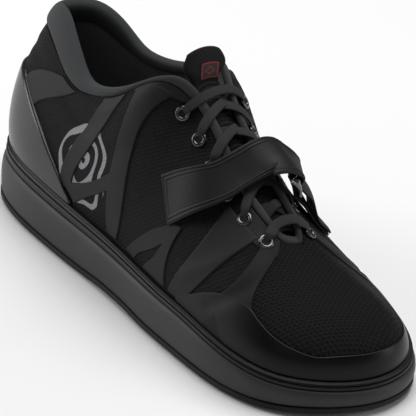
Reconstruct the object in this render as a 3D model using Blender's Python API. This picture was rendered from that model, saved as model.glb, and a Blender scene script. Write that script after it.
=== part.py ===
"""Weightlifting shoe for the right foot: a tall flat sole, a lasted mesh upper with lace and instep strap.

Metres, +X towards the toe, +Y towards the inner side of the foot, +Z up. The origin is on the floor,
under the middle of the sole. Every curved piece is read off two shapes: the outline of the sole and
the outer face of the upper. Places round the shoe are a share of the way round that outline, from
the toe tip along the outer side to the heel and back along the inner side.
"""

import math
from collections import namedtuple

import bpy
import numpy as np

# Sole
SOLE_LENGTH = 0.301
BALL_WIDTH = 0.1065
HEEL_WIDTH = 0.0800
HEEL_STACK = 0.0247
BALL_STACK = 0.0227
TOE_STACK = 0.0140
TOE_SPRING = 0.0025
ARCH_RISE = 0.0010
OUTSOLE_THICK = 0.0035
GROOVE_WIDTH = 0.0024
GROOVE_DEPTH = 0.0012
GROOVE_PITCH = 0.0090
GROOVE_RIM = 0.0090
INSOLE_HEEL = 0.0090
INSOLE_TOE = 0.0045

# Rand round the foot of the upper
RAND_HEEL = 0.0080
RAND_TOE = 0.0045
FEATHER_INSET = 0.0048

# Upper
UPPER_WALL = 0.0022
COLLAR_RISE = 0.0830
COLLAR_WIDTH = 0.0500
OVERLAY_THICK = 0.0008
COUNTER_THICK = 0.0016
GUARD_THICK = 0.0012

# Collar roll, from the thin binding of the throat to the full pad at the heel, and the columns of the
# upper between which the heel's pad is sewn in as a piece of its own
BINDING_HEIGHT = 0.0050
BINDING_WIDTH = 0.0036
PAD_HEIGHT = 0.0165
PAD_WIDTH = 0.0095
HEEL_PAD_COLUMNS = (26, 38)

# Closing of the throat. The eyelets' start and pitch along its edge are shares of the sole's length
EYELET_PAIRS = 6
EYELET_START = 0.0648
EYELET_PITCH = 0.0528
EYELET_INSET = 0.0078
EYELET_WIDTH = 0.0084
EYELET_HOLE = 0.0042
EYELET_HEIGHT = 0.0011
LACE_WIDTH = 0.0050
LACE_THICK = 0.0012
LACE_CLEAR = 0.0006
TONGUE_DEPTH = 0.0035
TONGUE_THICK = 0.0045
TONGUE_WIDTH = 0.0400
TONGUE_RISE = 0.0195
TONGUE_LEAN = 10.0

# Instep strap, its ring and the tab that holds the ring, as distances over the instep from the
# middle of the throat, and places along the sole's length. The strap flares towards its outer end,
# which is cut on a slant
STRAP_WIDTH = 0.0220
STRAP_THICK = 0.0014
STRAP_CLEAR = 0.0046
STRAP_SLACK = 0.0004
STRAP_OUTER_REACH = 0.0550
STRAP_INNER_REACH = 0.0200
STRAP_FLARE = 0.10
STRAP_SLANT = 0.15
STRAP_AT_THROAT = 0.650
STRAP_SWING = 0.0325
STRAP_SWING_FROM = 0.0820
RING_WIRE = 0.0030
RING_SIDE = 0.0015
RING_DEPTH = 0.0085
RING_RISE = 0.0105
RING_TILT = 30.0
TAB_THICK = 0.0012
TAB_END = 0.0560

# Clearances between pieces that touch on the real shoe
GAP = 0.0003
OVERLAY_GAP = 0.0006

# How finely the curved faces are divided
ROUND = 64
UP = 9

# The part of the instep that closing pieces lie on: shares of the sole's length, and reach across
INSTEP_BACK = 0.46
INSTEP_FRONT = 0.78
INSTEP_REACH = 0.090

# One row per section round the shoe. along and side place the sole's edge, as shares of the sole's
# length from the heel and of its local width. top_along, top_side and top_height place the upper's
# top edge, as shares of the sole's length, of the collar's width and of the collar's rise above the
# midsole. lean and foot_reach shape the wall where it leaves the rand, slope and top_reach where it
# meets the top edge (degrees, and shares of the distance between the two edges). pad is the share of
# the full collar pad.
Section = namedtuple(
    "Section", "along side top_along top_side top_height lean foot_reach slope top_reach pad"
)
SECTIONS = [
    Section(1.000, 0.06, 0.772, 0.03, 0.53, 4, 0.38, 30, 0.36, 0.00),
    Section(0.970, -0.20, 0.769, -0.07, 0.54, 4, 0.36, 30, 0.37, 0.00),
    Section(0.907, -0.395, 0.760, -0.18, 0.57, 4, 0.34, 33, 0.36, 0.00),
    Section(0.810, -0.485, 0.727, -0.26, 0.65, 6, 0.34, 37, 0.34, 0.00),
    Section(0.700, -0.49, 0.663, -0.27, 0.73, 4, 0.34, 38, 0.34, 0.00),
    Section(0.600, -0.50, 0.600, -0.28, 0.91, 2, 0.34, 42, 0.34, 0.00),
    Section(0.507, -0.525, 0.527, -0.29, 1.09, 3, 0.33, 45, 0.33, 0.00),
    Section(0.420, -0.555, 0.470, -0.47, 1.18, 5, 0.33, 40, 0.30, 0.08),
    Section(0.327, -0.565, 0.390, -0.61, 0.98, 8, 0.33, 53, 0.30, 0.32),
    Section(0.217, -0.545, 0.293, -0.61, 0.81, 9, 0.33, 53, 0.30, 0.40),
    Section(0.110, -0.485, 0.200, -0.52, 0.79, 10, 0.33, 52, 0.32, 0.75),
    Section(0.033, -0.335, 0.097, -0.31, 0.88, 12, 0.33, 56, 0.35, 0.95),
    Section(0.000, 0.00, 0.040, -0.02, 0.85, 13, 0.33, 60, 0.35, 1.00),
    Section(0.033, 0.31, 0.085, 0.33, 0.88, 11, 0.33, 58, 0.33, 0.95),
    Section(0.093, 0.44, 0.143, 0.49, 0.79, 8, 0.33, 56, 0.32, 0.75),
    Section(0.183, 0.49, 0.207, 0.54, 0.75, 4, 0.33, 54, 0.30, 0.50),
    Section(0.283, 0.46, 0.300, 0.54, 0.83, 2, 0.33, 54, 0.30, 0.40),
    Section(0.383, 0.42, 0.393, 0.50, 1.01, 0, 0.33, 54, 0.30, 0.26),
    Section(0.483, 0.41, 0.477, 0.32, 1.17, -2, 0.33, 42, 0.30, 0.08),
    Section(0.583, 0.43, 0.543, 0.19, 1.04, -8, 0.28, 48, 0.28, 0.00),
    Section(0.690, 0.49, 0.623, 0.15, 0.85, -14, 0.24, 54, 0.24, 0.00),
    Section(0.800, 0.52, 0.700, 0.14, 0.69, -20, 0.22, 54, 0.24, 0.00),
    Section(0.900, 0.46, 0.745, 0.13, 0.61, -16, 0.26, 48, 0.28, 0.00),
    Section(0.970, 0.32, 0.768, 0.09, 0.55, 2, 0.38, 36, 0.32, 0.00),
]

# Height of the toe guard's and the heel counter's upper edges, as shares of the way up the upper,
# at shares of the way round the shoe
Edge = namedtuple("Edge", "round up")
GUARD_EDGE = [
    Edge(-0.190, 0.06),
    Edge(-0.130, 0.18),
    Edge(-0.100, 0.30),
    Edge(-0.050, 0.18),
    Edge(0.000, 0.17),
    Edge(0.050, 0.19),
    Edge(0.080, 0.26),
    Edge(0.105, 0.36),
    Edge(0.130, 0.30),
    Edge(0.160, 0.14),
    Edge(0.190, 0.05),
]
COUNTER_EDGE = [
    Edge(0.340, 0.04),
    Edge(0.355, 0.14),
    Edge(0.380, 0.30),
    Edge(0.410, 0.42),
    Edge(0.440, 0.50),
    Edge(0.500, 0.62),
    Edge(0.560, 0.50),
    Edge(0.590, 0.42),
    Edge(0.620, 0.30),
    Edge(0.645, 0.14),
    Edge(0.660, 0.04),
]

# Bonded strips of the quarters: the four corners of each as round and up shares
Film = namedtuple("Film", "name foot_back foot_front top_front top_back")
FILMS = [
    Film("film_outer_heel", (0.452, 0.58), (0.426, 0.52), (0.398, 0.95), (0.424, 0.95)),
    Film("film_outer_strip", (0.356, 0.21), (0.343, 0.21), (0.324, 0.95), (0.353, 0.95)),
    Film("film_outer_bar", (0.336, 0.05), (0.301, 0.24), (0.302, 0.33), (0.341, 0.13)),
    Film("film_outer_panel", (0.290, 0.04), (0.277, 0.04), (0.273, 0.92), (0.316, 0.95)),
    Film("film_outer_fan_1", (0.256, 0.10), (0.250, 0.04), (0.229, 0.22), (0.229, 0.34)),
    Film("film_outer_fan_2", (0.241, 0.04), (0.215, 0.04), (0.210, 0.32), (0.221, 0.20)),
    Film("film_outer_fan_3", (0.202, 0.06), (0.178, 0.14), (0.132, 0.76), (0.172, 0.76)),
    Film("film_outer_fan_4", (0.141, 0.38), (0.112, 0.44), (0.090, 0.76), (0.116, 0.76)),
    Film("film_inner_heel", (0.548, 0.58), (0.574, 0.52), (0.602, 0.95), (0.576, 0.95)),
    Film("film_inner_panel", (0.700, 0.05), (0.725, 0.05), (0.735, 0.92), (0.680, 0.92)),
    Film("film_inner_fan_1", (0.785, 0.05), (0.808, 0.05), (0.812, 0.74), (0.788, 0.74)),
    Film("film_inner_fan_2", (0.882, 0.37), (0.897, 0.37), (0.916, 0.74), (0.893, 0.74)),
]

# Tongue from front to top: share of the way back along the throat, width, and height above its end
TongueRow = namedtuple("TongueRow", "along width rise")
TONGUE_ROWS = [
    TongueRow(0.00, 0.80, 0.00),
    TongueRow(0.12, 1.00, 0.00),
    TongueRow(0.35, 1.00, 0.00),
    TongueRow(0.58, 1.00, 0.00),
    TongueRow(0.80, 1.00, 0.00),
    TongueRow(1.00, 0.54, 0.00),
    TongueRow(1.00, 0.58, 0.25),
    TongueRow(1.00, 0.80, 0.50),
    TongueRow(1.00, 0.90, 0.80),
    TongueRow(1.00, 0.70, 1.00),
]

Finish = namedtuple("Finish", "color roughness metallic")
FINISHES = {
    "rubber": Finish((0.022, 0.022, 0.022), 0.75, 0.0),
    "foam": Finish((0.060, 0.060, 0.061), 0.55, 0.0),
    "rand": Finish((0.024, 0.024, 0.025), 0.50, 0.0),
    "mesh": Finish((0.010, 0.010, 0.010), 0.90, 0.0),
    "film": Finish((0.040, 0.041, 0.042), 0.65, 0.0),
    "guard": Finish((0.012, 0.012, 0.012), 0.45, 0.0),
    "counter": Finish((0.080, 0.078, 0.074), 0.22, 0.0),
    "lining": Finish((0.060, 0.063, 0.067), 0.85, 0.0),
    "lace": Finish((0.040, 0.041, 0.042), 0.85, 0.0),
    "strap": Finish((0.018, 0.018, 0.018), 0.60, 0.0),
    "metal": Finish((0.140, 0.140, 0.150), 0.28, 1.0),
}


def ease(value, start, end):
    """Smooth step from 0 at start to 1 at end."""
    t = np.clip((value - start) / (end - start), 0.0, 1.0)
    return t * t * (3.0 - 2.0 * t)


def closed_spline(knots, values, at):
    """Read a closed cubic spline through values, one row per knot, at the given places.

    knots rise from 0 and the first row is met again at 1. The second derivatives solve the
    three-term system that makes slope and curvature continuous at every knot.
    """
    count = len(knots)
    step = np.diff(np.append(knots, 1.0))
    before = np.roll(step, 1)
    slope = (np.roll(values, -1, axis=0) - values) / step[:, None]
    system = np.zeros((count, count))
    index = np.arange(count)
    system[index, index] = 2.0 * (before + step)
    system[index, (index + 1) % count] += step
    system[index, index - 1] += before
    bend = np.linalg.solve(system, 6.0 * (slope - np.roll(slope, 1, axis=0)))
    at = np.mod(at, 1.0)
    left = np.searchsorted(knots, at, side="right") - 1
    right = (left + 1) % count
    width = step[left][..., None]
    t = (at - knots[left])[..., None]
    return (
        values[left]
        + t * (slope[left] - width / 6.0 * (2.0 * bend[left] + bend[right]))
        + t * t * bend[left] / 2.0
        + t ** 3 * (bend[right] - bend[left]) / (6.0 * width)
    )


def local_width(along):
    """Width of the sole that side shares are measured in, heel width blending into ball width."""
    return HEEL_WIDTH + (BALL_WIDTH - HEEL_WIDTH) * ease(along, 0.35, 0.70)


def section_table():
    """Sections in metres: edge x and y, top x, y and rise, then the shape columns unchanged."""
    table = np.array(SECTIONS, dtype=float)
    table[:, 1] *= local_width(table[:, 0])
    table[:, 0] *= SOLE_LENGTH
    table[:, 2] *= SOLE_LENGTH
    table[:, 3] *= COLLAR_WIDTH
    table[:, 4] *= COLLAR_RISE
    return table


def knot_places(table):
    """Share of the way round the edge at which each section stands, by straight steps between them."""
    steps = np.linalg.norm(np.roll(table[:, :2], -1, axis=0) - table[:, :2], axis=1)
    return np.concatenate([[0.0], np.cumsum(steps)[:-1]]) / steps.sum()


TABLE = section_table()
KNOTS = knot_places(TABLE)
DENSE = closed_spline(KNOTS, TABLE, np.linspace(0.0, 1.0, 720, endpoint=False))
CENTRE = (DENSE[:, :2].max(axis=0) + DENSE[:, :2].min(axis=0)) / 2.0


def station(at):
    """Interpolated section values at places round the shoe, moved so that the sole is centred."""
    values = closed_spline(KNOTS, TABLE, at)
    values[..., 0:2] -= CENTRE
    values[..., 2:4] -= CENTRE
    return values


def share_along(x):
    """Share of the way from heel to toe of a place in x."""
    return x / SOLE_LENGTH + 0.5


def floor_line(x):
    """Height of the sole's underside: flat heel, slight arch, flat forefoot, toe spring."""
    share = share_along(x)
    arch = ease(share, 0.36, 0.44) * (1.0 - ease(share, 0.50, 0.58))
    return ARCH_RISE * arch + TOE_SPRING * ease(share, 0.80, 1.04)


def sole_top(x):
    """Height of the midsole's upper face."""
    share = share_along(x)
    to_ball = (BALL_STACK - HEEL_STACK) * ease(share, 0.10, 0.65)
    to_toe = (TOE_STACK - BALL_STACK) * ease(share, 0.65, 1.00)
    return HEEL_STACK + to_ball + to_toe


def rand_height(x):
    """Height of the rand above the midsole."""
    return RAND_HEEL + (RAND_TOE - RAND_HEEL) * ease(share_along(x), 0.15, 0.75)


def edge_ring(at, outset):
    """Sole outline moved outwards by outset, as x and y columns."""
    small = 1e-4
    along = station(at + small)[..., :2] - station(at - small)[..., :2]
    outward = np.stack([-along[..., 1], along[..., 0]], axis=-1)
    outward /= np.linalg.norm(outward, axis=-1, keepdims=True)
    return station(at)[..., :2] + outward * np.asarray(outset)[..., None]


def level_ring(at, outset, height):
    """Sole outline moved outwards by outset, at a height that is a function of x."""
    edge = edge_ring(at, outset)
    return np.concatenate([edge, height(edge[..., 0])[..., None]], axis=-1)


def upper_face(at, up):
    """Outer face of the upper, at places round the shoe and shares of the way up.

    Each line is a cubic curve from the foot, at the top of the rand, to the top edge: it leaves the
    foot leaning out by lean and reaches the top edge along slope. Below 0 it goes straight down to
    the midsole, which it meets at -1.
    """
    at, up = np.broadcast_arrays(at, up)
    values = station(at)
    foot = np.concatenate([edge_ring(at, -FEATHER_INSET * np.ones(at.shape)), values[..., :1]], axis=-1)
    base = sole_top(foot[..., 0])
    skirt = rand_height(foot[..., 0]) + GAP
    foot[..., 2] = base + skirt
    top = values[..., 2:5].copy()
    top[..., 2] += sole_top(top[..., 0])
    reach = np.linalg.norm(foot - top, axis=-1, keepdims=True)
    out = foot - top
    out[..., 2] = 0.0
    out /= np.linalg.norm(out, axis=-1, keepdims=True)
    rise = np.zeros_like(out)
    rise[..., 2] = 1.0
    lean = np.radians(values[..., 5])[..., None]
    slope = np.radians(values[..., 7])[..., None]
    low = foot + reach * values[..., 6:7] * (out * np.sin(lean) + rise * np.cos(lean))
    high = top + reach * values[..., 8:9] * (out * np.cos(slope) - rise * np.sin(slope))
    t = np.maximum(up, 0.0)[..., None]
    face = (
        (1 - t) ** 3 * foot
        + 3 * (1 - t) ** 2 * t * low
        + 3 * (1 - t) * t ** 2 * high
        + t ** 3 * top
    )
    face[..., 2] += np.minimum(up, 0.0) * (skirt - GAP)
    return face


def upper_normal(at, up):
    """Outward unit normal of the upper's face."""
    small = 1e-3
    at, up = np.broadcast_arrays(at, up)
    up = np.where(up < 0, up, np.maximum(up, small))
    rising = upper_face(at, up + small) - upper_face(at, up - small)
    going = upper_face(at + small, up) - upper_face(at - small, up)
    normal = np.cross(rising, going)
    return normal / np.linalg.norm(normal, axis=-1, keepdims=True)


def upper_skin(at, up, lift):
    """Upper's face moved outwards by lift along its normal."""
    lift = np.asarray(lift, dtype=float)
    return upper_face(at, up) + upper_normal(at, up) * lift[..., None]


def throat_places(x):
    """Places round the shoe, outer and inner, at which the top edge stands at x."""
    half = np.linspace(0.0, 0.5, 361)
    outer = station(half)[:, 2]
    inner = station(1.0 - half)[:, 2]
    return np.interp(-x, -outer, half), 1.0 - np.interp(-x, -inner, half)


def instep_arch(x):
    """Curve over the instep at x: up the outer face, across the throat, down the inner face.

    The throat is bridged by a cubic that leaves each top edge along the face. Also gives the length
    along the curve, counted from the middle of the bridge and negative towards the outer side.
    """
    shares = np.linspace(0.0, 1.0, 41)
    outer_at, inner_at = throat_places(x)
    outer = upper_face(np.full(41, outer_at), shares)
    inner = upper_face(np.full(41, inner_at), shares[::-1])
    leave = outer[-1] - outer[-2]
    arrive = inner[1] - inner[0]
    span = np.linalg.norm(inner[0] - outer[-1])
    leave *= span / np.linalg.norm(leave)
    arrive *= span / np.linalg.norm(arrive)
    t = np.linspace(0.0, 1.0, 21)[:, None]
    bridge = (
        (2 * t ** 3 - 3 * t ** 2 + 1) * outer[-1]
        + (t ** 3 - 2 * t ** 2 + t) * leave
        + (3 * t ** 2 - 2 * t ** 3) * inner[0]
        + (t ** 3 - t ** 2) * arrive
    )
    curve = np.concatenate([outer, bridge[1:-1], inner])
    steps = np.linalg.norm(np.diff(curve, axis=0), axis=1)
    length = np.concatenate([[0.0], np.cumsum(steps)])
    return curve, length - length[50]


def instep_grid():
    """Arches at even places in x, read at even distances across, with their outward normals."""
    xs = np.linspace(INSTEP_BACK - 0.5, INSTEP_FRONT - 0.5, 60) * SOLE_LENGTH
    ds = np.linspace(-INSTEP_REACH, INSTEP_REACH, 121)
    grid = np.empty((len(xs), len(ds), 3))
    half = np.empty(len(xs))
    for row, x in enumerate(xs):
        curve, length = instep_arch(x)
        half[row] = -length[40]
        grid[row] = np.stack([np.interp(ds, length, curve[:, axis]) for axis in range(3)], axis=-1)
    normal = np.cross(np.gradient(grid, axis=0), np.gradient(grid, axis=1))
    normal /= np.maximum(np.linalg.norm(normal, axis=-1, keepdims=True), 1e-12)
    return xs, ds, grid, normal, half


INSTEP = instep_grid()


def instep_point(x, across, lift):
    """Point lifted off the arched instep at x and a distance across, between the arches' points."""
    xs, ds, grid, normal, half = INSTEP
    x, across, lift = np.broadcast_arrays(x, across, lift)
    row = np.clip((x - xs[0]) / (xs[1] - xs[0]), 0, len(xs) - 1.001)
    col = np.clip((across - ds[0]) / (ds[1] - ds[0]), 0, len(ds) - 1.001)
    i = row.astype(int)
    j = col.astype(int)
    u = (row - i)[..., None]
    v = (col - j)[..., None]

    def blend(field):
        near = field[i, j] * (1 - v) + field[i, j + 1] * v
        far = field[i + 1, j] * (1 - v) + field[i + 1, j + 1] * v
        return near * (1 - u) + far * u

    return blend(grid) + blend(normal) * lift[..., None]


def throat_half(x):
    """Distance across from the middle of the throat to its edge at x."""
    return np.interp(x, INSTEP[0], INSTEP[4])


def eyelet_x(count):
    """Place in x of a pair of eyelets, counted from 0 at the front along the throat's outer edge."""
    half = np.linspace(0.0, 0.5, 361)
    edge = upper_face(half, np.ones(361))
    length = np.concatenate([[0.0], np.cumsum(np.linalg.norm(np.diff(edge, axis=0), axis=1))])
    return float(np.interp((EYELET_START + count * EYELET_PITCH) * SOLE_LENGTH, length, edge[:, 0]))


def material(name):
    """Principled material of a named finish, made once."""
    found = bpy.data.materials.get(name)
    if found:
        return found
    finish = FINISHES[name]
    made = bpy.data.materials.new(name)
    made.use_nodes = True
    shader = made.node_tree.nodes["Principled BSDF"]
    shader.inputs["Base Color"].default_value = (*finish.color, 1.0)
    shader.inputs["Roughness"].default_value = finish.roughness
    shader.inputs["Metallic"].default_value = finish.metallic
    return made


def add_body(name, finish, points, faces):
    """One closed body with its faces out, shaded smooth but for its sharp edges."""
    mesh = bpy.data.meshes.new(name)
    mesh.from_pydata([tuple(point) for point in points], [], faces)
    volume = sum(
        points[face[0]].dot(np.cross(points[face[k]], points[face[k + 1]]))
        for face in faces
        for k in range(1, len(face) - 1)
    )
    if volume < 0:
        mesh.flip_normals()
    mesh.materials.append(material(finish))
    body = bpy.data.objects.new(name, mesh)
    bpy.context.scene.collection.objects.link(body)
    mesh.shade_smooth()
    mesh.set_sharp_from_angle(angle=math.radians(35))
    return body


def ring_faces(rows, count, closed):
    """Quads between rings of count points each; closed joins the last ring to the first."""
    faces = []
    for row in range(rows if closed else rows - 1):
        low = row * count
        high = (row + 1) % rows * count
        for col in range(count):
            beside = (col + 1) % count
            faces.append((low + col, high + col, high + beside, low + beside))
    return faces


def cap_faces(first, count):
    """Strip of faces across a ring, joining the points that face each other over its long axis."""
    half = count // 2
    faces = [(first, first + 1, first + count - 1)]
    for col in range(1, half - 1):
        faces.append((first + col, first + col + 1, first + count - col - 1, first + count - col))
    faces.append((first + half - 1, first + half, first + half + 1))
    return faces


def add_hoop(name, finish, rings):
    """Body whose section, given ring by ring, closes on itself: a wall or roll that runs all round."""
    rings = np.asarray(rings)
    points = rings.reshape(-1, 3)
    return add_body(name, finish, points, ring_faces(rings.shape[0], rings.shape[1], True))


def add_plate(name, finish, rings):
    """Solid plate from a stack of rings, closed under the first and over the last."""
    rings = np.asarray(rings)
    rows, count = rings.shape[:2]
    faces = ring_faces(rows, count, False)
    faces += cap_faces(0, count)
    faces += [face[::-1] for face in cap_faces((rows - 1) * count, count)]
    return add_body(name, finish, rings.reshape(-1, 3), faces)


def add_sheet(name, finish, under, over):
    """Sheet between two matching open grids."""
    rows, cols = under.shape[:2]
    size = rows * cols
    faces = []
    for row in range(rows - 1):
        for col in range(cols - 1):
            quad = (row * cols + col, row * cols + col + 1, (row + 1) * cols + col + 1, (row + 1) * cols + col)
            faces.append(quad[::-1])
            faces.append(tuple(size + corner for corner in quad))
    rim = [col for col in range(cols)]
    rim += [row * cols + cols - 1 for row in range(1, rows)]
    rim += [(rows - 1) * cols + col for col in range(cols - 2, -1, -1)]
    rim += [row * cols for row in range(rows - 2, 0, -1)]
    for here, after in zip(rim, rim[1:] + rim[:1]):
        faces.append((here, after, size + after, size + here))
    points = np.concatenate([under.reshape(-1, 3), over.reshape(-1, 3)])
    return add_body(name, finish, points, faces)


def all_round():
    """Places round the shoe at which every hoop has its columns."""
    return np.arange(ROUND) / ROUND


def tread_cutter():
    """Closed bars, one per cross groove, standing under the sole as cutters."""
    places = []
    for start, end in ((0.05, 0.33), (0.60, 0.90)):
        count = int((end - start) * SOLE_LENGTH / GROOVE_PITCH)
        places += [(start - 0.5) * SOLE_LENGTH + (k + 0.5) * GROOVE_PITCH for k in range(count)]
    edge = edge_ring(np.linspace(0.0, 1.0, 720, endpoint=False), np.full(720, -GROOVE_RIM))
    outer = edge[:360][::-1]
    inner = edge[360:]
    points = []
    faces = []
    for x in places:
        low = np.interp(x, outer[:, 0], outer[:, 1])
        high = np.interp(x, inner[:, 0], inner[:, 1])
        floor = float(floor_line(np.array(x)))
        first = len(points)
        for z in (floor - GROOVE_DEPTH, floor + GROOVE_DEPTH):
            for dx, y in ((-0.5, low), (0.5, low), (0.5, high), (-0.5, high)):
                points.append((x + dx * GROOVE_WIDTH, y, z))
        a, b, c, d, e, f, g, h = range(first, first + 8)
        faces += [(a, d, c, b), (e, f, g, h), (a, b, f, e), (b, c, g, f), (c, d, h, g), (d, a, e, h)]
    mesh = bpy.data.meshes.new("tread_cutter")
    mesh.from_pydata(points, [], faces)
    cutter = bpy.data.objects.new("tread_cutter", mesh)
    cutter.hide_render = True
    cutter.display_type = "WIRE"
    bpy.context.scene.collection.objects.link(cutter)
    return cutter


def build_outsole():
    """Thin dark sole with a softened lower edge and cross grooves between its lugs."""
    at = all_round()
    steps = ((-0.0010, 0.0), (0.0, 0.0010), (0.0, OUTSOLE_THICK))
    rings = [level_ring(at, np.full(ROUND, out), lambda x, up=up: floor_line(x) + up) for out, up in steps]
    sole = add_plate("outsole", "rubber", rings)
    cut = sole.modifiers.new("grooves", "BOOLEAN")
    cut.operation = "DIFFERENCE"
    cut.object = tread_cutter()


def build_midsole():
    """Grey moulded wedge: its side swells slightly and rounds over into the rim under the rand."""
    at = all_round()
    under = OUTSOLE_THICK + GAP

    def height(share):
        return lambda x: floor_line(x) + under + share * (sole_top(x) - floor_line(x) - under)

    steps = ((-0.0006, 0.0), (0.0, 0.10), (0.0003, 0.50), (-0.0006, 0.90), (-0.0016, 1.0))
    rings = [level_ring(at, np.full(ROUND, out), height(share)) for out, share in steps]
    add_plate("midsole", "foam", rings)


def build_rand():
    """Dark band round the foot of the upper, with one groove along its side."""
    at = all_round()

    def height(share):
        return lambda x: sole_top(x) + GAP + share * (rand_height(x) - GAP)

    steps = (
        (-0.0018, 0.0), (-0.0018, 0.48), (-0.0026, 0.54), (-0.0026, 0.62), (-0.0022, 0.68),
        (-0.0032, 1.0), (GAP - FEATHER_INSET, 1.0), (GAP - FEATHER_INSET, 0.0),
    )
    add_hoop("rand", "rand", [level_ring(at, np.full(ROUND, out), height(share)) for out, share in steps])


def build_insole():
    """Footbed inside the upper, thicker at the heel."""
    at = all_round()
    inset = -(FEATHER_INSET + UPPER_WALL + GAP)

    def top(x):
        return sole_top(x) + GAP + INSOLE_HEEL + (INSOLE_TOE - INSOLE_HEEL) * ease(share_along(x), 0.15, 0.65)

    rings = [
        level_ring(at, np.full(ROUND, inset), lambda x: sole_top(x) + GAP),
        level_ring(at, np.full(ROUND, inset), lambda x: top(x) - 0.0010),
        level_ring(at, np.full(ROUND, inset - 0.0015), top),
    ]
    add_plate("insole", "lining", rings)


def build_upper():
    """Hollow lasted shell, open under the foot and at the collar and throat."""
    at = all_round()
    shares = np.concatenate([[-1.0], np.linspace(0.0, 1.0, UP)])
    outer = [upper_skin(at, np.full(ROUND, share), np.zeros(ROUND)) for share in shares]
    inner = [upper_skin(at, np.full(ROUND, share), np.full(ROUND, -UPPER_WALL)) for share in shares]
    for ring, share in zip(inner, shares):
        if share <= 0:
            ring[:, :2] = edge_ring(at, np.full(ROUND, -FEATHER_INSET - UPPER_WALL))
            ring[:, 2] = outer[list(shares).index(share)][:, 2]
    add_hoop("upper", "mesh", outer + inner[::-1])


def collar_frame(at):
    """Middle, outward and upward directions and half sizes of the collar roll at places round."""
    top = upper_face(at, np.ones_like(at))
    before = upper_face(at, np.full_like(at, 0.98))
    rise = top - before
    rise /= np.linalg.norm(rise, axis=-1, keepdims=True)
    out = upper_normal(at, np.ones_like(at))
    pad = station(at)[..., 9]
    half_height = (BINDING_HEIGHT + (PAD_HEIGHT - BINDING_HEIGHT) * pad) / 2.0
    half_width = (BINDING_WIDTH + (PAD_WIDTH - BINDING_WIDTH) * pad) / 2.0
    middle = top + rise * (half_height + GAP)[:, None] - out * (half_width * 0.45)[:, None]
    return middle, out, rise, half_width, half_height


def add_roll(name, first, last):
    """Length of the collar roll between two columns, its ends kept half a gap short of them."""
    at = np.arange(first, last + 1) / ROUND
    short = GAP / 2.0 / SOLE_LENGTH
    at[0] += short
    at[-1] -= short
    middle, out, rise, half_width, half_height = collar_frame(at)
    angle = np.linspace(0.0, 2.0 * math.pi, 8, endpoint=False)
    across = (half_width[:, None] * np.cos(angle))[..., None]
    upward = (half_height[:, None] * np.sin(angle))[..., None]
    add_plate(name, "lining", middle[:, None] + out[:, None] * across + rise[:, None] * upward)


def build_collar():
    """Padded cuff round the ankle that thins to a binding round the throat, and the heel's own pad."""
    start, end = HEEL_PAD_COLUMNS
    add_roll("heel_pad", start, end)
    add_roll("collar", end - ROUND, start)


def edge_cover(name, finish, edge, thick, rows):
    """Overlay from the rand up to an edge line, read off the upper's face, column for column."""
    rounds = np.array([place.round for place in edge])
    ups = np.array([place.up for place in edge])
    first = math.ceil(rounds[0] * ROUND)
    last = math.floor(rounds[-1] * ROUND)
    at = np.arange(first, last + 1) / ROUND
    top = np.interp(at, rounds, ups)
    share = np.linspace(0.0, 1.0, rows)[:, None]
    up = 0.015 + (top - 0.015) * share
    at = np.broadcast_to(at, up.shape)
    under = upper_skin(at, up, np.full(up.shape, OVERLAY_GAP))
    over = upper_skin(at, up, np.full(up.shape, OVERLAY_GAP + thick))
    return add_sheet(name, finish, under, over)


def build_films():
    """Bonded strips of both quarters, each blended between its four corners."""
    for film in FILMS:
        across = np.linspace(0.0, 1.0, 4)[None, :, None]
        upward = np.linspace(0.0, 1.0, 7)[:, None, None]
        foot = np.array(film.foot_back) * (1 - across) + np.array(film.foot_front) * across
        top = np.array(film.top_back) * (1 - across) + np.array(film.top_front) * across
        place = foot * (1 - upward) + top * upward
        under = upper_skin(place[..., 0], place[..., 1], np.full(place.shape[:2], OVERLAY_GAP))
        over = upper_skin(place[..., 0], place[..., 1], np.full(place.shape[:2], OVERLAY_GAP + OVERLAY_THICK))
        add_sheet(film.name, "film", under, over)


def across_direction(x, across, heading):
    """Direction square to a heading over the instep, as steps in x and across per metre of width."""
    small = 5e-4
    by_x = (instep_point(x + small, across, 0.0) - instep_point(x - small, across, 0.0)) / (2 * small)
    by_d = (instep_point(x, across + small, 0.0) - instep_point(x, across - small, 0.0)) / (2 * small)
    path = by_x * np.reshape(heading[0], (-1, 1)) + by_d * np.reshape(heading[1], (-1, 1))
    # a step (a, b) is square to the path where a * (by_x . path) + b * (by_d . path) is zero
    a = (by_d * path).sum(axis=-1)
    b = -(by_x * path).sum(axis=-1)
    step = by_x * a[:, None] + by_d * b[:, None]
    size = np.linalg.norm(step, axis=-1)
    return a / size, b / size


def add_band(name, finish, path, heading, width, thick, cols=2, slant=0.0):
    """Flat band over the instep along a path of x, distance across and lift of its middle line.

    width and slant may change along it: slant is how far its front edge lags behind, per metre of width.
    """
    x, across, lift = path
    dx, dd = across_direction(x, across, heading)
    side = np.linspace(-0.5, 0.5, cols)[None, :] * np.reshape(width, (-1, 1))
    run = np.stack([np.gradient(across), np.gradient(lift)], axis=-1)
    run /= np.linalg.norm(run, axis=-1, keepdims=True)
    sheets = []
    for face in (-0.5, 0.5):
        place_x = x[:, None] + side * dx[:, None]
        place_d = (across - run[:, 1] * thick * face)[:, None] + side * (dd - slant)[:, None]
        place_lift = (lift + run[:, 0] * thick * face)[:, None] + 0.0 * side
        sheets.append(instep_point(place_x, place_d, place_lift))
    return add_sheet(name, finish, sheets[0], sheets[1])


def eyelet_places():
    """x and distance across of each pair of eyelets, from the front pair back."""
    places = []
    for pair in range(EYELET_PAIRS):
        x = eyelet_x(pair)
        places.append((x, float(throat_half(x)) + EYELET_INSET))
    return places


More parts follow.
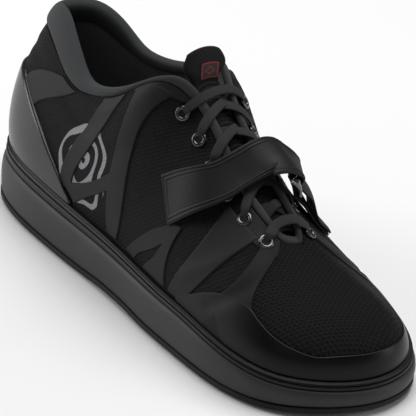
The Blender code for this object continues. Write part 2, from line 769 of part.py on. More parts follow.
def build_eyelets():
    """Low metal rings on the facings, each lying on the upper round its own hole."""
    turn = np.linspace(0.0, 2.0 * math.pi, 10, endpoint=False)
    outer = EYELET_WIDTH / 2.0
    hole = EYELET_HOLE / 2.0
    crown = (outer + hole) / 2.0
    section = ((outer, 0.0), (crown, 1.0), (hole, 0.6), (hole, 0.0))
    for pair, (x, across) in enumerate(eyelet_places()):
        for side, sign in (("outer", -1.0), ("inner", 1.0)):
            middle = instep_point(x, sign * across, OVERLAY_GAP)
            normal = instep_point(x, sign * across, 1.0) - instep_point(x, sign * across, 0.0)
            normal /= np.linalg.norm(normal)
            first = np.cross(normal, (0.0, 0.0, 1.0))
            first /= np.linalg.norm(first)
            second = np.cross(normal, first)
            rings = []
            for radius, height in section:
                flat = first * np.cos(turn)[:, None] + second * np.sin(turn)[:, None]
                rings.append(middle + flat * radius + normal * (height * EYELET_HEIGHT))
            add_hoop(f"eyelet_{side}_{pair + 1}", "metal", rings)


def lace_arm(name, start, end, above):
    """One run of lace over the instep between two eyelets, above by a share of its thickness."""
    (x0, d0), (x1, d1) = start, end
    length = math.hypot(x1 - x0, d1 - d0)
    stop = (EYELET_WIDTH / 2.0 + LACE_WIDTH / 2.0 + GAP) / length
    share = np.linspace(stop, 1.0 - stop, 9)
    x = x0 + (x1 - x0) * share
    across = d0 + (d1 - d0) * share
    lift = np.full(9, 0.55 * BINDING_WIDTH + LACE_CLEAR + (0.5 + above) * LACE_THICK)
    return add_band(name, "lace", (x, across, lift), (x1 - x0, d1 - d0), LACE_WIDTH, LACE_THICK)


def join_lace(body, arm):
    """Join one run of lace onto a body of others; the run itself isn't a piece of its own."""
    arm.hide_render = True
    arm.display_type = "WIRE"
    join = body.modifiers.new("join", "BOOLEAN")
    join.operation = "UNION"
    join.object = arm


def build_lace():
    """Crossings between the pairs of eyelets; the first and last take in the front and top bars."""
    places = eyelet_places()
    for pair in range(EYELET_PAIRS - 1):
        x0, d0 = places[pair]
        x1, d1 = places[pair + 1]
        crossing = lace_arm(f"lace_crossing_{pair + 1}", (x1, -d1), (x0, d0), 0.0)
        join_lace(crossing, lace_arm("lace_over", (x0, -d0), (x1, d1), 0.20))
        if pair == 0:
            join_lace(crossing, lace_arm("lace_front_bar", (x0, -d0), (x0, d0), 0.33))
        if pair == EYELET_PAIRS - 2:
            join_lace(crossing, lace_arm("lace_top_bar", (x1, -d1), (x1, d1), 0.33))


def tongue_face(depth):
    """One face of the tongue: below the facings as far as the collar, then up out of the throat."""
    front = eyelet_x(-0.5)
    back = eyelet_x(EYELET_PAIRS - 0.6)
    lean = math.radians(TONGUE_LEAN)
    upward = np.array([-math.sin(lean), 0.0, math.cos(lean)])
    side = np.linspace(-0.5, 0.5, 7) * TONGUE_WIDTH
    rows = []
    for row in TONGUE_ROWS:
        x = front + (back - front) * row.along
        rows.append(instep_point(x, side * row.width, -depth) + upward * TONGUE_RISE * row.rise)
    return np.array(rows)


def build_tongue():
    """Padded tongue under the facings."""
    add_sheet("tongue", "mesh", tongue_face(TONGUE_DEPTH + TONGUE_THICK), tongue_face(TONGUE_DEPTH))


def strap_x(across):
    """x of the strap's middle line: it swings back towards its end on the outer side."""
    swing = STRAP_SWING * (1.0 - ease(across, -STRAP_SWING_FROM, 0.0))
    return (STRAP_AT_THROAT - 0.5) * SOLE_LENGTH - swing


def build_strap():
    """Instep strap: from its end on the outer side over the lace and round the ring's upper bar."""
    low = OVERLAY_GAP + STRAP_THICK / 2.0
    flat = STRAP_CLEAR + STRAP_THICK / 2.0
    bar = (RING_WIRE + STRAP_THICK) / 2.0 + STRAP_SLACK
    reach = STRAP_OUTER_REACH + STRAP_INNER_REACH
    over = STRAP_INNER_REACH - reach * np.linspace(1.0, 0.0, 12) ** 1.6
    off = ease(over, -STRAP_OUTER_REACH, -throat_half(0.0) - EYELET_INSET)
    near = ease(over, -0.6 * STRAP_INNER_REACH, 0.9 * STRAP_INNER_REACH)
    height = low + (flat - low) * off + (RING_RISE + bar - flat) * near
    turn = np.linspace(0.0, math.pi, 7)[1:]
    across = np.concatenate([over, STRAP_INNER_REACH + bar * np.sin(turn)])
    lift = np.concatenate([height, RING_RISE + bar * np.cos(turn)])
    heading = (strap_x(across + 1e-4) - strap_x(across - 1e-4), np.full(len(across), 2e-4))
    path = (strap_x(across), across, lift)
    to_end = 1.0 - ease(across, -STRAP_OUTER_REACH, -0.2 * STRAP_OUTER_REACH)
    width = STRAP_WIDTH * (1.0 + STRAP_FLARE * to_end)
    add_band("strap", "strap", path, heading, width, STRAP_THICK, cols=4, slant=STRAP_SLANT * to_end)


def ring_place(depth, raised):
    """Distance across and lift of a place in the ring's tilted plane, raised off that plane."""
    tilt = math.radians(RING_TILT)
    across = STRAP_INNER_REACH + depth * math.cos(tilt) + raised * math.sin(tilt)
    lift = RING_RISE - depth * math.sin(tilt) + raised * math.cos(tilt)
    return across, lift


def build_ring():
    """Metal loop that the strap turns round, standing off the inner side between strap and tab."""
    turn = np.linspace(0.0, 2.0 * math.pi, 24, endpoint=False)
    long_half = (STRAP_WIDTH + RING_WIRE) / 2.0 + RING_SIDE
    along = np.sign(np.cos(turn)) * np.abs(np.cos(turn)) ** 0.40
    down = np.sign(np.sin(turn)) * np.abs(np.sin(turn)) ** 0.16
    x = np.full(1, strap_x(0.0))
    dx, dd = across_direction(x, np.full(1, STRAP_INNER_REACH), (0.0, 1.0))
    rings = []
    for angle in np.linspace(0.0, 2.0 * math.pi, 6, endpoint=False):
        swell = math.cos(angle) * RING_WIRE / 2.0
        depth = RING_DEPTH / 2.0 + down * (RING_DEPTH / 2.0 + swell)
        across, lift = ring_place(depth, math.sin(angle) * RING_WIRE / 2.0)
        side = along * (long_half + swell)
        rings.append(instep_point(x + side * dx, across + side * dd, lift))
    add_hoop("strap_ring", "metal", rings)


def build_tab():
    """Webbing loop round the ring's lower bar, running down to the rand in two layers."""
    bar = (RING_WIRE + TAB_THICK) / 2.0 + GAP * 1.5
    low = OVERLAY_GAP + TAB_THICK / 2.0
    centre, height = ring_place(RING_DEPTH, 0.0)
    down = np.linspace(centre, TAB_END, 8)[1:]
    layer = TAB_THICK + GAP
    fall = 1.0 - ease(down, centre + 0.006, centre + 0.022)
    under = low + (height - bar - low) * fall
    over = low + layer + (height + bar - low - layer) * fall
    turn = np.linspace(0.0, math.pi, 7)
    across = np.concatenate([down[::-1], centre - bar * np.sin(turn), down])
    lift = np.concatenate([under[::-1], height - bar * np.cos(turn), over])
    path = (np.full(len(across), strap_x(0.0)), across, lift)
    add_band("strap_tab", "strap", path, (0.0, 1.0), STRAP_WIDTH, TAB_THICK, cols=3)


def main():
    for old in list(bpy.data.objects):
        bpy.data.objects.remove(old, do_unlink=True)
    build_outsole()
    build_midsole()
    build_rand()
    build_insole()
    build_upper()
    build_collar()
    edge_cover("toe_guard", "guard", GUARD_EDGE, GUARD_THICK, 5)
    edge_cover("heel_counter", "counter", COUNTER_EDGE, COUNTER_THICK, 6)
    build_films()
    build_eyelets()
    build_lace()
    build_tongue()
    build_strap()
    build_ring()
    build_tab()


main()
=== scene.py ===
import math
from collections import namedtuple

import bpy
import numpy as np
from mathutils import Matrix, Vector


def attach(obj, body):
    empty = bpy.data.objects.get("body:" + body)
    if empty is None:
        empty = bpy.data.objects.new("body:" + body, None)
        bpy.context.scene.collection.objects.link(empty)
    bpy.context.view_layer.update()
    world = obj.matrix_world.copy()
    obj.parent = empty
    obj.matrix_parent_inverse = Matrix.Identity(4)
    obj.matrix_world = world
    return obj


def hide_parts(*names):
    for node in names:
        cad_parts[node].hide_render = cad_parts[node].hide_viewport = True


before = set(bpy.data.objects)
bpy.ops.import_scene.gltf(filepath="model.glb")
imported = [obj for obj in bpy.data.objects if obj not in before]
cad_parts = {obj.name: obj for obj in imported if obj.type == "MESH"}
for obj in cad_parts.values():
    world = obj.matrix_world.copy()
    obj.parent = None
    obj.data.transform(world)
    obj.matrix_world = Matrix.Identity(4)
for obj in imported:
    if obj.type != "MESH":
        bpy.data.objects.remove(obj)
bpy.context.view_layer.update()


# Floor, light and camera: one wide pale matt floor under plain soft panels, and a long lens that
# stands above the toe on the outer side, rolled a little as the photograph is. Nothing here is part
# of the shoe.
VIEW_TURN = math.radians(52.16)
VIEW_RISE = math.radians(27.83)
VIEW_ROLL = math.radians(4.68)
VIEW_DISTANCE = 2.5
VIEW_AIM = Vector((0.0125, -0.0060, 0.0537))
VIEW_LENS = 421.06


def mesh_piece(name, points, faces, slot, *materials):
    """Object from points (n, 3) and quads (m, 4), shaded smooth, with its materials; under the root body if
    a slot is given.
    """
    mesh = bpy.data.meshes.new(name)
    mesh.vertices.add(len(points))
    mesh.vertices.foreach_set("co", np.ascontiguousarray(points, dtype=np.float32).ravel())
    mesh.loops.add(faces.size)
    mesh.loops.foreach_set("vertex_index", np.ascontiguousarray(faces, dtype=np.int32).ravel())
    mesh.polygons.add(len(faces))
    mesh.polygons.foreach_set("loop_start", np.arange(0, faces.size, faces.shape[1], dtype=np.int32))
    mesh.update(calc_edges=True)
    mesh.shade_smooth()
    for material in materials:
        mesh.materials.append(material)
    piece = bpy.data.objects.new(name, mesh)
    bpy.context.scene.collection.objects.link(piece)
    if slot:
        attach(piece, "root")
    return piece


def feed(made, **inputs):
    """Set a node's inputs, by name or by number as i0, to a value or to the socket that feeds it."""
    for key, value in inputs.items():
        numbered = key[0] == "i" and key[1:].isdigit()
        socket = made.inputs[int(key[1:]) if numbered else key.replace("_", " ")]
        if isinstance(value, bpy.types.NodeSocket):
            made.id_data.links.new(value, socket)
        else:
            socket.default_value = value


def node(tree, kind, settings=(), **inputs):
    """Shader node with its settings and its fed inputs."""
    made = tree.nodes.new(kind)
    for key, value in dict(settings).items():
        setattr(made, key, value)
    feed(made, **inputs)
    return made


def math_node(tree, operation, *values):
    """Output of a math node of that operation on values or sockets."""
    inputs = {f"i{place}": value for place, value in enumerate(values)}
    return node(tree, "ShaderNodeMath", {"operation": operation}, **inputs).outputs[0]


def blend_colors(tree, share, *ends):
    """Colour that goes from the first to the second as share goes from 0 to 1."""
    first, second = (end if isinstance(end, bpy.types.NodeSocket) else (*end, 1.0) for end in ends)
    return node(tree, "ShaderNodeMix", {"data_type": "RGBA"}, i0=share, i6=first, i7=second).outputs[2]


def span(tree, value, start, end, low, high):
    """Value taken smoothly from start..end to low..high."""
    smooth = {"interpolation_type": "SMOOTHSTEP"}
    return node(tree, "ShaderNodeMapRange", smooth, i0=value, i1=start, i2=end, i3=low, i4=high).outputs[0]


def cloth_place(tree):
    """Place in the piece's own pattern, in metres."""
    return node(tree, "ShaderNodeUVMap", {"uv_map": "cloth"}).outputs[0]


def surface(name):
    """New material: its node tree and its shader."""
    made = bpy.data.materials.new(name)
    made.use_nodes = True
    return made, made.node_tree, made.node_tree.nodes["Principled BSDF"]


def bump(shader, height, distance):
    """Feed the shader's normal from a height, in metres of relief."""
    made = node(shader.id_data, "ShaderNodeBump", Strength=1.0, Distance=distance, Height=height)
    feed(shader, Normal=made.outputs[0])


def new_group(name, inputs, outputs):
    """Node group with sockets of those names, and the sockets to read from and to feed inside it."""
    group = bpy.data.node_groups.new(name, "ShaderNodeTree")
    for way, labels in (("INPUT", inputs), ("OUTPUT", outputs)):
        for label in labels:
            kind = "NodeSocketVector" if label == "Vector" else "NodeSocketFloat"
            group.interface.new_socket(label, in_out=way, socket_type=kind)
    return group, group.nodes.new("NodeGroupInput").outputs, group.nodes.new("NodeGroupOutput")


floor_paint, tree, shader = surface("floor_paint")
floor_noise = node(tree, "ShaderNodeTexNoise", Scale=3.0, Detail=2.0)
feed(
    shader,
    Base_Color=blend_colors(tree, floor_noise.outputs[0], (0.86, 0.86, 0.86), (0.88, 0.88, 0.88)),
    Roughness=0.9,
)
floor_points = np.array(
    [(-6.0, -6.0, -0.0004), (6.0, -6.0, -0.0004), (6.0, 6.0, -0.0004), (-6.0, 6.0, -0.0004)]
)
floor = mesh_piece("floor", floor_points, np.array([[0, 1, 2, 3]]), None, floor_paint)

Panel = namedtuple("Panel", "name place width height power")
PANELS = [
    Panel("panel_top", (-0.2, 0.3, 1.6), 1.3, 1.3, 26.0),
    Panel("panel_left", (-1.1, -0.75, 0.45), 0.5, 0.9, 8.5),
    Panel("panel_right", (0.9, 0.95, 0.40), 0.4, 0.8, 3.5),
    Panel("panel_front", (1.0, -1.3, 0.9), 0.9, 0.7, 0.8),
]
for panel in PANELS:
    lamp = bpy.data.lights.new(panel.name, "AREA")
    lamp.shape = "RECTANGLE"
    lamp.size = panel.width
    lamp.size_y = panel.height
    lamp.energy = panel.power
    holder = bpy.data.objects.new(panel.name, lamp)
    holder.location = panel.place
    aim = Vector((0.0, 0.0, 0.04)) - Vector(panel.place)
    holder.rotation_euler = aim.to_track_quat("-Z", "Y").to_euler()
    bpy.context.scene.collection.objects.link(holder)

world = bpy.data.worlds.new("studio")
world.use_nodes = True
world.node_tree.nodes["Background"].inputs[0].default_value = (1.0, 1.0, 1.0, 1.0)
world.node_tree.nodes["Background"].inputs[1].default_value = 0.13
bpy.context.scene.world = world
bpy.context.scene.view_settings.view_transform = "Standard"

back = Vector((
    math.sin(VIEW_TURN) * math.cos(VIEW_RISE),
    -math.cos(VIEW_TURN) * math.cos(VIEW_RISE),
    math.sin(VIEW_RISE),
))
level = (-back).cross(Vector((0.0, 0.0, 1.0))).normalized()
upright = level.cross(-back)
right = math.cos(VIEW_ROLL) * level + math.sin(VIEW_ROLL) * upright
top = math.cos(VIEW_ROLL) * upright - math.sin(VIEW_ROLL) * level
lens = bpy.data.cameras.new("camera")
lens.lens = VIEW_LENS
lens.sensor_width = 36.0
lens.sensor_fit = "HORIZONTAL"
lens.clip_end = 100.0
camera = bpy.data.objects.new("camera", lens)
turned = Matrix((right, top, back)).transposed().to_4x4()
turned.translation = VIEW_AIM + back * VIEW_DISTANCE
camera.matrix_world = turned
bpy.context.scene.collection.objects.link(camera)
bpy.context.scene.camera = camera


# Outsole: thin dark rubber under the whole sole, moulded with cross grooves under the heel and the
# forefoot, and glued to the midsole. Its edge and every wall above it follow one closed outline,
# read from the rows below.
SOLE_LENGTH = 0.301
BALL_WIDTH = 0.1065
HEEL_WIDTH = 0.0800
COLLAR_WIDTH = 0.0500
COLLAR_RISE = 0.0830
HEEL_STACK = 0.0247
BALL_STACK = 0.0227
TOE_STACK = 0.0140
TOE_SPRING = 0.0025
ARCH_RISE = 0.0010
OUTSOLE_THICK = 0.0035
GROOVE_WIDTH = 0.0024
GROOVE_DEPTH = 0.0012
GROOVE_PITCH = 0.0090
GROOVE_RIM = 0.0090
GAP = 0.0003
ROUND = 720

# along and side: the sole's edge, as shares of its length from the heel and of its local width.
# top_along, top_side, top_height: the upper's top edge, as shares of the length, of the collar's
# width and of its rise. lean and foot_reach: the wall as it leaves the rand. slope and top_reach:
# the wall as it meets the top edge. pad: share of the full collar pad.
Section = namedtuple(
    "Section", "along side top_along top_side top_height lean foot_reach slope top_reach pad"
)
SECTIONS = [
    Section(1.000, 0.06, 0.772, 0.03, 0.53, 4, 0.38, 30, 0.36, 0.00),
    Section(0.970, -0.20, 0.769, -0.07, 0.54, 4, 0.36, 30, 0.37, 0.00),
    Section(0.907, -0.395, 0.760, -0.18, 0.57, 4, 0.34, 33, 0.36, 0.00),
    Section(0.810, -0.485, 0.727, -0.26, 0.65, 6, 0.34, 37, 0.34, 0.00),
    Section(0.700, -0.49, 0.663, -0.27, 0.73, 4, 0.34, 38, 0.34, 0.00),
    Section(0.600, -0.50, 0.600, -0.28, 0.91, 2, 0.34, 42, 0.34, 0.00),
    Section(0.507, -0.525, 0.527, -0.29, 1.09, 3, 0.33, 45, 0.33, 0.00),
    Section(0.420, -0.555, 0.470, -0.47, 1.18, 5, 0.33, 40, 0.30, 0.08),
    Section(0.327, -0.565, 0.390, -0.61, 0.98, 8, 0.33, 53, 0.30, 0.32),
    Section(0.217, -0.545, 0.293, -0.61, 0.81, 9, 0.33, 53, 0.30, 0.40),
    Section(0.110, -0.485, 0.200, -0.52, 0.79, 10, 0.33, 52, 0.32, 0.75),
    Section(0.033, -0.335, 0.097, -0.31, 0.88, 12, 0.33, 56, 0.35, 0.95),
    Section(0.000, 0.00, 0.040, -0.02, 0.85, 13, 0.33, 60, 0.35, 1.00),
    Section(0.033, 0.31, 0.085, 0.33, 0.88, 11, 0.33, 58, 0.33, 0.95),
    Section(0.093, 0.44, 0.143, 0.49, 0.79, 8, 0.33, 56, 0.32, 0.75),
    Section(0.183, 0.49, 0.207, 0.54, 0.75, 4, 0.33, 54, 0.30, 0.50),
    Section(0.283, 0.46, 0.300, 0.54, 0.83, 2, 0.33, 54, 0.30, 0.40),
    Section(0.383, 0.42, 0.393, 0.50, 1.01, 0, 0.33, 54, 0.30, 0.26),
    Section(0.483, 0.41, 0.477, 0.32, 1.17, -2, 0.33, 42, 0.30, 0.08),
    Section(0.583, 0.43, 0.543, 0.19, 1.04, -8, 0.28, 48, 0.28, 0.00),
    Section(0.690, 0.49, 0.623, 0.15, 0.85, -14, 0.24, 54, 0.24, 0.00),
    Section(0.800, 0.52, 0.700, 0.14, 0.69, -20, 0.22, 54, 0.24, 0.00),
    Section(0.900, 0.46, 0.745, 0.13, 0.61, -16, 0.26, 48, 0.28, 0.00),
    Section(0.970, 0.32, 0.768, 0.09, 0.55, 2, 0.38, 36, 0.32, 0.00),
]


def ease(value, start, end):
    """Smooth step from 0 at start to 1 at end: 3t^2 - 2t^3."""
    t = np.clip((value - start) / (end - start), 0.0, 1.0)
    return t * t * (3.0 - 2.0 * t)


def closed_spline(knots, values, at):
    """Closed cubic spline: its second derivatives solve the three-term system that makes slope and
    curvature run on at every knot; between knots it is the cubic with those end bends."""
    count = len(knots)
    step = np.diff(np.append(knots, 1.0))
    before = np.roll(step, 1)
    slope = (np.roll(values, -1, axis=0) - values) / step[:, None]
    system = np.zeros((count, count))
    index = np.arange(count)
    system[index, index] = 2.0 * (before + step)
    system[index, (index + 1) % count] += step
    system[index, index - 1] += before
    bend = np.linalg.solve(system, 6.0 * (slope - np.roll(slope, 1, axis=0)))
    at = np.mod(at, 1.0)
    left = np.searchsorted(knots, at, side="right") - 1
    right_knot = (left + 1) % count
    width = step[left][..., None]
    t = (at - knots[left])[..., None]
    return (
        values[left]
        + t * (slope[left] - width / 6.0 * (2.0 * bend[left] + bend[right_knot]))
        + t * t * bend[left] / 2.0
        + t ** 3 * (bend[right_knot] - bend[left]) / (6.0 * width)
    )


def section_table():
    """Rows in metres: side shares times a width that eases from heel to ball, the rest by length."""
    table = np.array(SECTIONS, dtype=float)
    table[:, 1] *= HEEL_WIDTH + (BALL_WIDTH - HEEL_WIDTH) * ease(table[:, 0], 0.35, 0.70)
    table[:, 0] *= SOLE_LENGTH
    table[:, 2] *= SOLE_LENGTH
    table[:, 3] *= COLLAR_WIDTH
    table[:, 4] *= COLLAR_RISE
    return table


TABLE = section_table()
STEPS = np.linalg.norm(np.roll(TABLE[:, :2], -1, axis=0) - TABLE[:, :2], axis=1)
KNOTS = np.concatenate([[0.0], np.cumsum(STEPS)[:-1]]) / STEPS.sum()
DENSE = closed_spline(KNOTS, TABLE, np.linspace(0.0, 1.0, 720, endpoint=False))
CENTRE = (DENSE[:, :2].max(axis=0) + DENSE[:, :2].min(axis=0)) / 2.0


def station(at):
    """Rows read at shares of the way round, from the toe tip along the outer side, sole centred."""
    values = closed_spline(KNOTS, TABLE, at)
    values[..., 0:2] -= CENTRE
    values[..., 2:4] -= CENTRE
    return values


def share_along(x):
    """Share of the way from heel to toe."""
    return x / SOLE_LENGTH + 0.5


def floor_line(x):
    """Sole's underside: flat, plus a low arch between two eased steps, plus an eased toe spring."""
    share = share_along(x)
    arch = ease(share, 0.36, 0.44) * (1.0 - ease(share, 0.50, 0.58))
    return ARCH_RISE * arch + TOE_SPRING * ease(share, 0.80, 1.04)


def sole_top(x):
    """Midsole's upper face: heel stack easing to the ball stack, then to the toe stack."""
    share = share_along(x)
    to_ball = (BALL_STACK - HEEL_STACK) * ease(share, 0.10, 0.65)
    to_toe = (TOE_STACK - BALL_STACK) * ease(share, 0.65, 1.00)
    return HEEL_STACK + to_ball + to_toe


def edge_ring(at, outset):
    """Outline moved outwards: its point plus outset times the turned unit tangent."""
    small = 1e-4
    along = station(at + small)[..., :2] - station(at - small)[..., :2]
    outward = np.stack([-along[..., 1], along[..., 0]], axis=-1)
    outward /= np.linalg.norm(outward, axis=-1, keepdims=True)
    return station(at)[..., :2] + outward * np.asarray(outset)[..., None]


def grid_quads(rows, cols, close_rows, close_cols):
    """Corner numbers of the quads of a grid of points, row by row; a closed way runs on to its start."""
    i = np.arange(rows if close_rows else rows - 1)[:, None]
    j = np.arange(cols if close_cols else cols - 1)[None, :]
    here = i * cols + j
    above = (i + 1) % rows * cols + j
    over = (i + 1) % rows * cols + (j + 1) % cols
    beside = i * cols + (j + 1) % cols
    return np.stack([here, above, over, beside], axis=-1).reshape(-1, 4)


def outward(points, faces):
    """Faces as they are, or turned if the volume under them, summed over corner triples, is negative."""
    a, b, c, d = (points[faces[:, k]] for k in range(4))
    volume = (a * np.cross(b, c)).sum() + (a * np.cross(c, d)).sum()
    return faces if volume > 0 else faces[:, ::-1]


def grid_piece(name, grid, slot, *materials, close_rows=False, close_cols=True):
    """Piece from a grid of points (rows, columns, 3), closed on itself the ways that are asked for."""
    rows, cols = grid.shape[:2]
    points = grid.reshape(-1, 3)
    faces = outward(points, grid_quads(rows, cols, close_rows, close_cols))
    return mesh_piece(name, points, faces, slot, *materials)


AROUND = np.arange(ROUND) / ROUND
EDGE = edge_ring(AROUND, np.zeros(ROUND))


def spine(points):
    """Line midway between both sides, at each point's own x but no nearer the tips than a half width."""
    x = np.clip(points[..., 0], -0.112, 0.098)
    half = ROUND // 2
    outer_y = np.interp(x, EDGE[half::-1, 0], EDGE[half::-1, 1])
    inner_y = np.interp(x, EDGE[half:, 0], EDGE[half:, 1])
    return np.stack([x, (outer_y + inner_y) / 2.0], axis=-1)


def sole_rings(profile, low, high):
    """One ring per profile row (outset, share): the outline moved outwards, at low + share (high - low)."""
    profile = np.array(profile)
    ring = edge_ring(np.broadcast_to(AROUND, (len(profile), ROUND)), profile[:, :1] * np.ones(ROUND))
    base = low(ring[..., 0])
    height = base + profile[:, 1:] * (high(ring[..., 0]) - base)
    return np.concatenate([ring, height[..., None]], axis=-1)


def inward_rings(ring, rows, height):
    """Rings that close a plate: edge and spine mixed in even shares, at a height read from x and y."""
    share = np.linspace(0.0, 1.0, rows + 1)[1:, None, None]
    flat = ring[None, :, :2] * (1.0 - share) + spine(ring)[None] * share
    return np.concatenate([flat, height(flat)[..., None]], axis=-1)


def grain_group():
    """Node group of moulded or knitted unevenness: a fine and a broad noise in object space."""
    group, start, end = new_group("grain", ["Scale"], ["Fine", "Broad"])
    place = group.nodes.new("ShaderNodeTexCoord").outputs["Object"]
    fine = node(group, "ShaderNodeTexNoise", Vector=place, Scale=start[0], Detail=3.0, Roughness=0.6)
    wide = math_node(group, "MULTIPLY", start[0], 0.03)
    broad = node(group, "ShaderNodeTexNoise", Vector=place, Scale=wide, Detail=2.0, Roughness=0.5)
    feed(end, i0=fine.outputs[0], i1=broad.outputs[0])
    return group


GRAIN = grain_group()


def grain(tree, scale):
    """Fine and broad outputs of the grain group at a scale per metre."""
    made = node(tree, "ShaderNodeGroup", {"node_tree": GRAIN}, i0=scale)
    return made.outputs[0], made.outputs[1]


def moulded(name, dark, light, roughness, spread, scale, relief, specular):
    """Moulded finish: colour and roughness vary with the broad noise, the fine one gives its grain."""
    made, tree, shader = surface(name)
    fine, broad = grain(tree, scale)
    color = blend_colors(tree, span(tree, broad, 0.35, 0.65, 0.0, 1.0), dark, light)
    uneven = math_node(tree, "MULTIPLY_ADD", fine, spread, roughness - spread / 2.0)
    feed(shader, Base_Color=color, Roughness=uneven, Specular_IOR_Level=specular)
    bump(shader, fine, relief)
    return made, tree, shader


sole_rubber = moulded(
    "sole_rubber", (0.009, 0.009, 0.009), (0.013, 0.013, 0.013), 0.72, 0.20, 900.0, 0.00012, 0.3
)[0]


def tread_height(flat):
    """Floor line, plus the depth of the grooves where x lies in one and the edge is a rim's width away."""
    x = flat[..., 0]
    share = share_along(x)
    zone = ease(share, 0.045, 0.055) * (1 - ease(share, 0.325, 0.335))
    zone += ease(share, 0.595, 0.605) * (1 - ease(share, 0.895, 0.905))
    start = np.where(share < 0.5, -0.45, 0.10) * SOLE_LENGTH
    across = np.abs(np.mod((x - start) / GROOVE_PITCH, 1.0) - 0.5) * GROOVE_PITCH
    groove = 1.0 - ease(across, GROOVE_WIDTH * 0.35, GROOVE_WIDTH * 0.60)
    edge_y = EDGE[np.arange(ROUND), 1]
    near = np.abs(flat[..., 1] - edge_y)
    rim = ease(near, GROOVE_RIM * 0.9, GROOVE_RIM * 1.05)
    return floor_line(x) + GROOVE_DEPTH * groove * rim * zone


outsole_profile = [
    (-0.0014, 0.0), (-0.0010, 0.04), (-0.0003, 0.16), (0.0, 0.32), (0.0, 0.92), (-0.0004, 1.0)
]
outsole_wall = sole_rings(outsole_profile, floor_line, lambda x: floor_line(x) + OUTSOLE_THICK)
outsole_under = inward_rings(outsole_wall[0], 60, tread_height)[::-1]
outsole_over = inward_rings(outsole_wall[-1], 2, lambda flat: floor_line(flat[..., 0]) + OUTSOLE_THICK)
outsole = grid_piece(
    "outsole_rubber", np.concatenate([outsole_under, outsole_wall, outsole_over]), "rubber", sole_rubber
)
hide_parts("outsole")


# Midsole: one grey moulded wedge of firm foam, plain and smooth, swelling a little half way up and
# rounded over into the rim that the rand sits on. The skin shows faint mould flow and light scuffs.
def wedge_low(x):
    """Top of the outsole plus the clearance."""
    return floor_line(x) + OUTSOLE_THICK + GAP


wedge_foam, tree, shader = moulded(
    "wedge_foam", (0.023, 0.023, 0.0235), (0.028, 0.028, 0.0285), 0.52, 0.16, 1400.0, 0.00006, 0.35
)
scuff_noise = node(tree, "ShaderNodeTexNoise", Scale=60.0, Detail=6.0, Roughness=0.7)
scuff_share = span(tree, scuff_noise.outputs[0], 0.62, 0.78, 0.0, 0.5)
scuff_from = shader.inputs[0].links[0].from_socket
feed(shader, Base_Color=blend_colors(tree, scuff_share, scuff_from, (0.042, 0.042, 0.043)))
midsole_profile = [
    (-0.0018, 0.0), (-0.0008, 0.015), (-0.0004, 0.05), (-0.0001, 0.12), (0.0001, 0.25), (0.0003, 0.42),
    (0.0003, 0.58), (0.0001, 0.72), (-0.0002, 0.82), (-0.0005, 0.89),
    (-0.0009, 0.94), (-0.0014, 0.98), (-0.0022, 1.0),
]
midsole_wall = sole_rings(midsole_profile, wedge_low, sole_top)
midsole_under = inward_rings(midsole_wall[0], 2, lambda flat: wedge_low(flat[..., 0]))[::-1]
midsole_over = inward_rings(midsole_wall[-1], 2, lambda flat: sole_top(flat[..., 0]))
midsole = grid_piece(
    "midsole_wedge", np.concatenate([midsole_under, midsole_wall, midsole_over]), "foam", wedge_foam
)
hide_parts("midsole")


# Rand: dark rubber band glued round the foot of the upper, moulded in two steps with a groove
# between them and a thin raised bead that runs round near its top.
RAND_HEEL = 0.0080
RAND_TOE = 0.0045
FEATHER_INSET = 0.0048


def over_sole(x):
    """Top of the midsole plus the clearance."""
    return sole_top(x) + GAP


def rand_height(x):
    """Rand's height above the midsole, easing from the heel's to the toe's."""
    return RAND_HEEL + (RAND_TOE - RAND_HEEL) * ease(share_along(x), 0.15, 0.75)


rand_rubber = moulded(
    "rand_rubber", (0.0055, 0.0055, 0.0058), (0.0080, 0.0080, 0.0083), 0.46, 0.16, 1200.0, 0.00006, 0.28
)[0]
rand_profile = [
    (-0.0024, 0.0), (-0.0018, 0.03), (-0.0015, 0.10), (-0.0015, 0.38), (-0.0017, 0.44), (-0.0022, 0.48),
    (-0.0028, 0.50), (-0.0030, 0.53), (-0.0028, 0.56), (-0.0023, 0.58), (-0.0021, 0.62), (-0.0021, 0.72),
    (-0.0024, 0.75), (-0.0026, 0.77), (-0.0022, 0.79), (-0.0018, 0.82), (-0.0018, 0.85), (-0.0022, 0.88),
    (-0.0027, 0.90), (-0.0028, 0.94), (-0.0033, 0.98),
    (-0.0040, 1.0), (GAP - FEATHER_INSET, 1.0), (GAP - FEATHER_INSET, 0.0),
]
rand_rings = sole_rings(rand_profile, over_sole, lambda x: sole_top(x) + rand_height(x))
rand = grid_piece("rand_band", rand_rings, "rand", rand_rubber, close_rows=True)
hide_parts("rand")


# Insole: removable foam footbed under a dark knit top cloth, thicker at the heel, its edge turned
# down where it meets the lining, with rows of breathing holes under the forefoot.
UPPER_WALL = 0.0022
INSOLE_HEEL = 0.0090
INSOLE_TOE = 0.0045


def footbed_level(x):
    """Footbed's flat height, easing from the heel's thickness to the toe's."""
    return over_sole(x) + INSOLE_HEEL + (INSOLE_TOE - INSOLE_HEEL) * ease(share_along(x), 0.15, 0.65)


def footbed_top(flat):
    """Footbed's height from x, with a shallow heel cup and a low arch pad on the inner side."""
    x = flat[..., 0]
    share = share_along(x)
    cup = -0.0012 * np.exp(-((share - 0.14) / 0.10) ** 2 - ((flat[..., 1] - 0.001) / 0.020) ** 2)
    arch = 0.0012 * np.exp(-((share - 0.42) / 0.12) ** 2 - ((flat[..., 1] - 0.022) / 0.014) ** 2)
    return footbed_level(x) + cup + arch


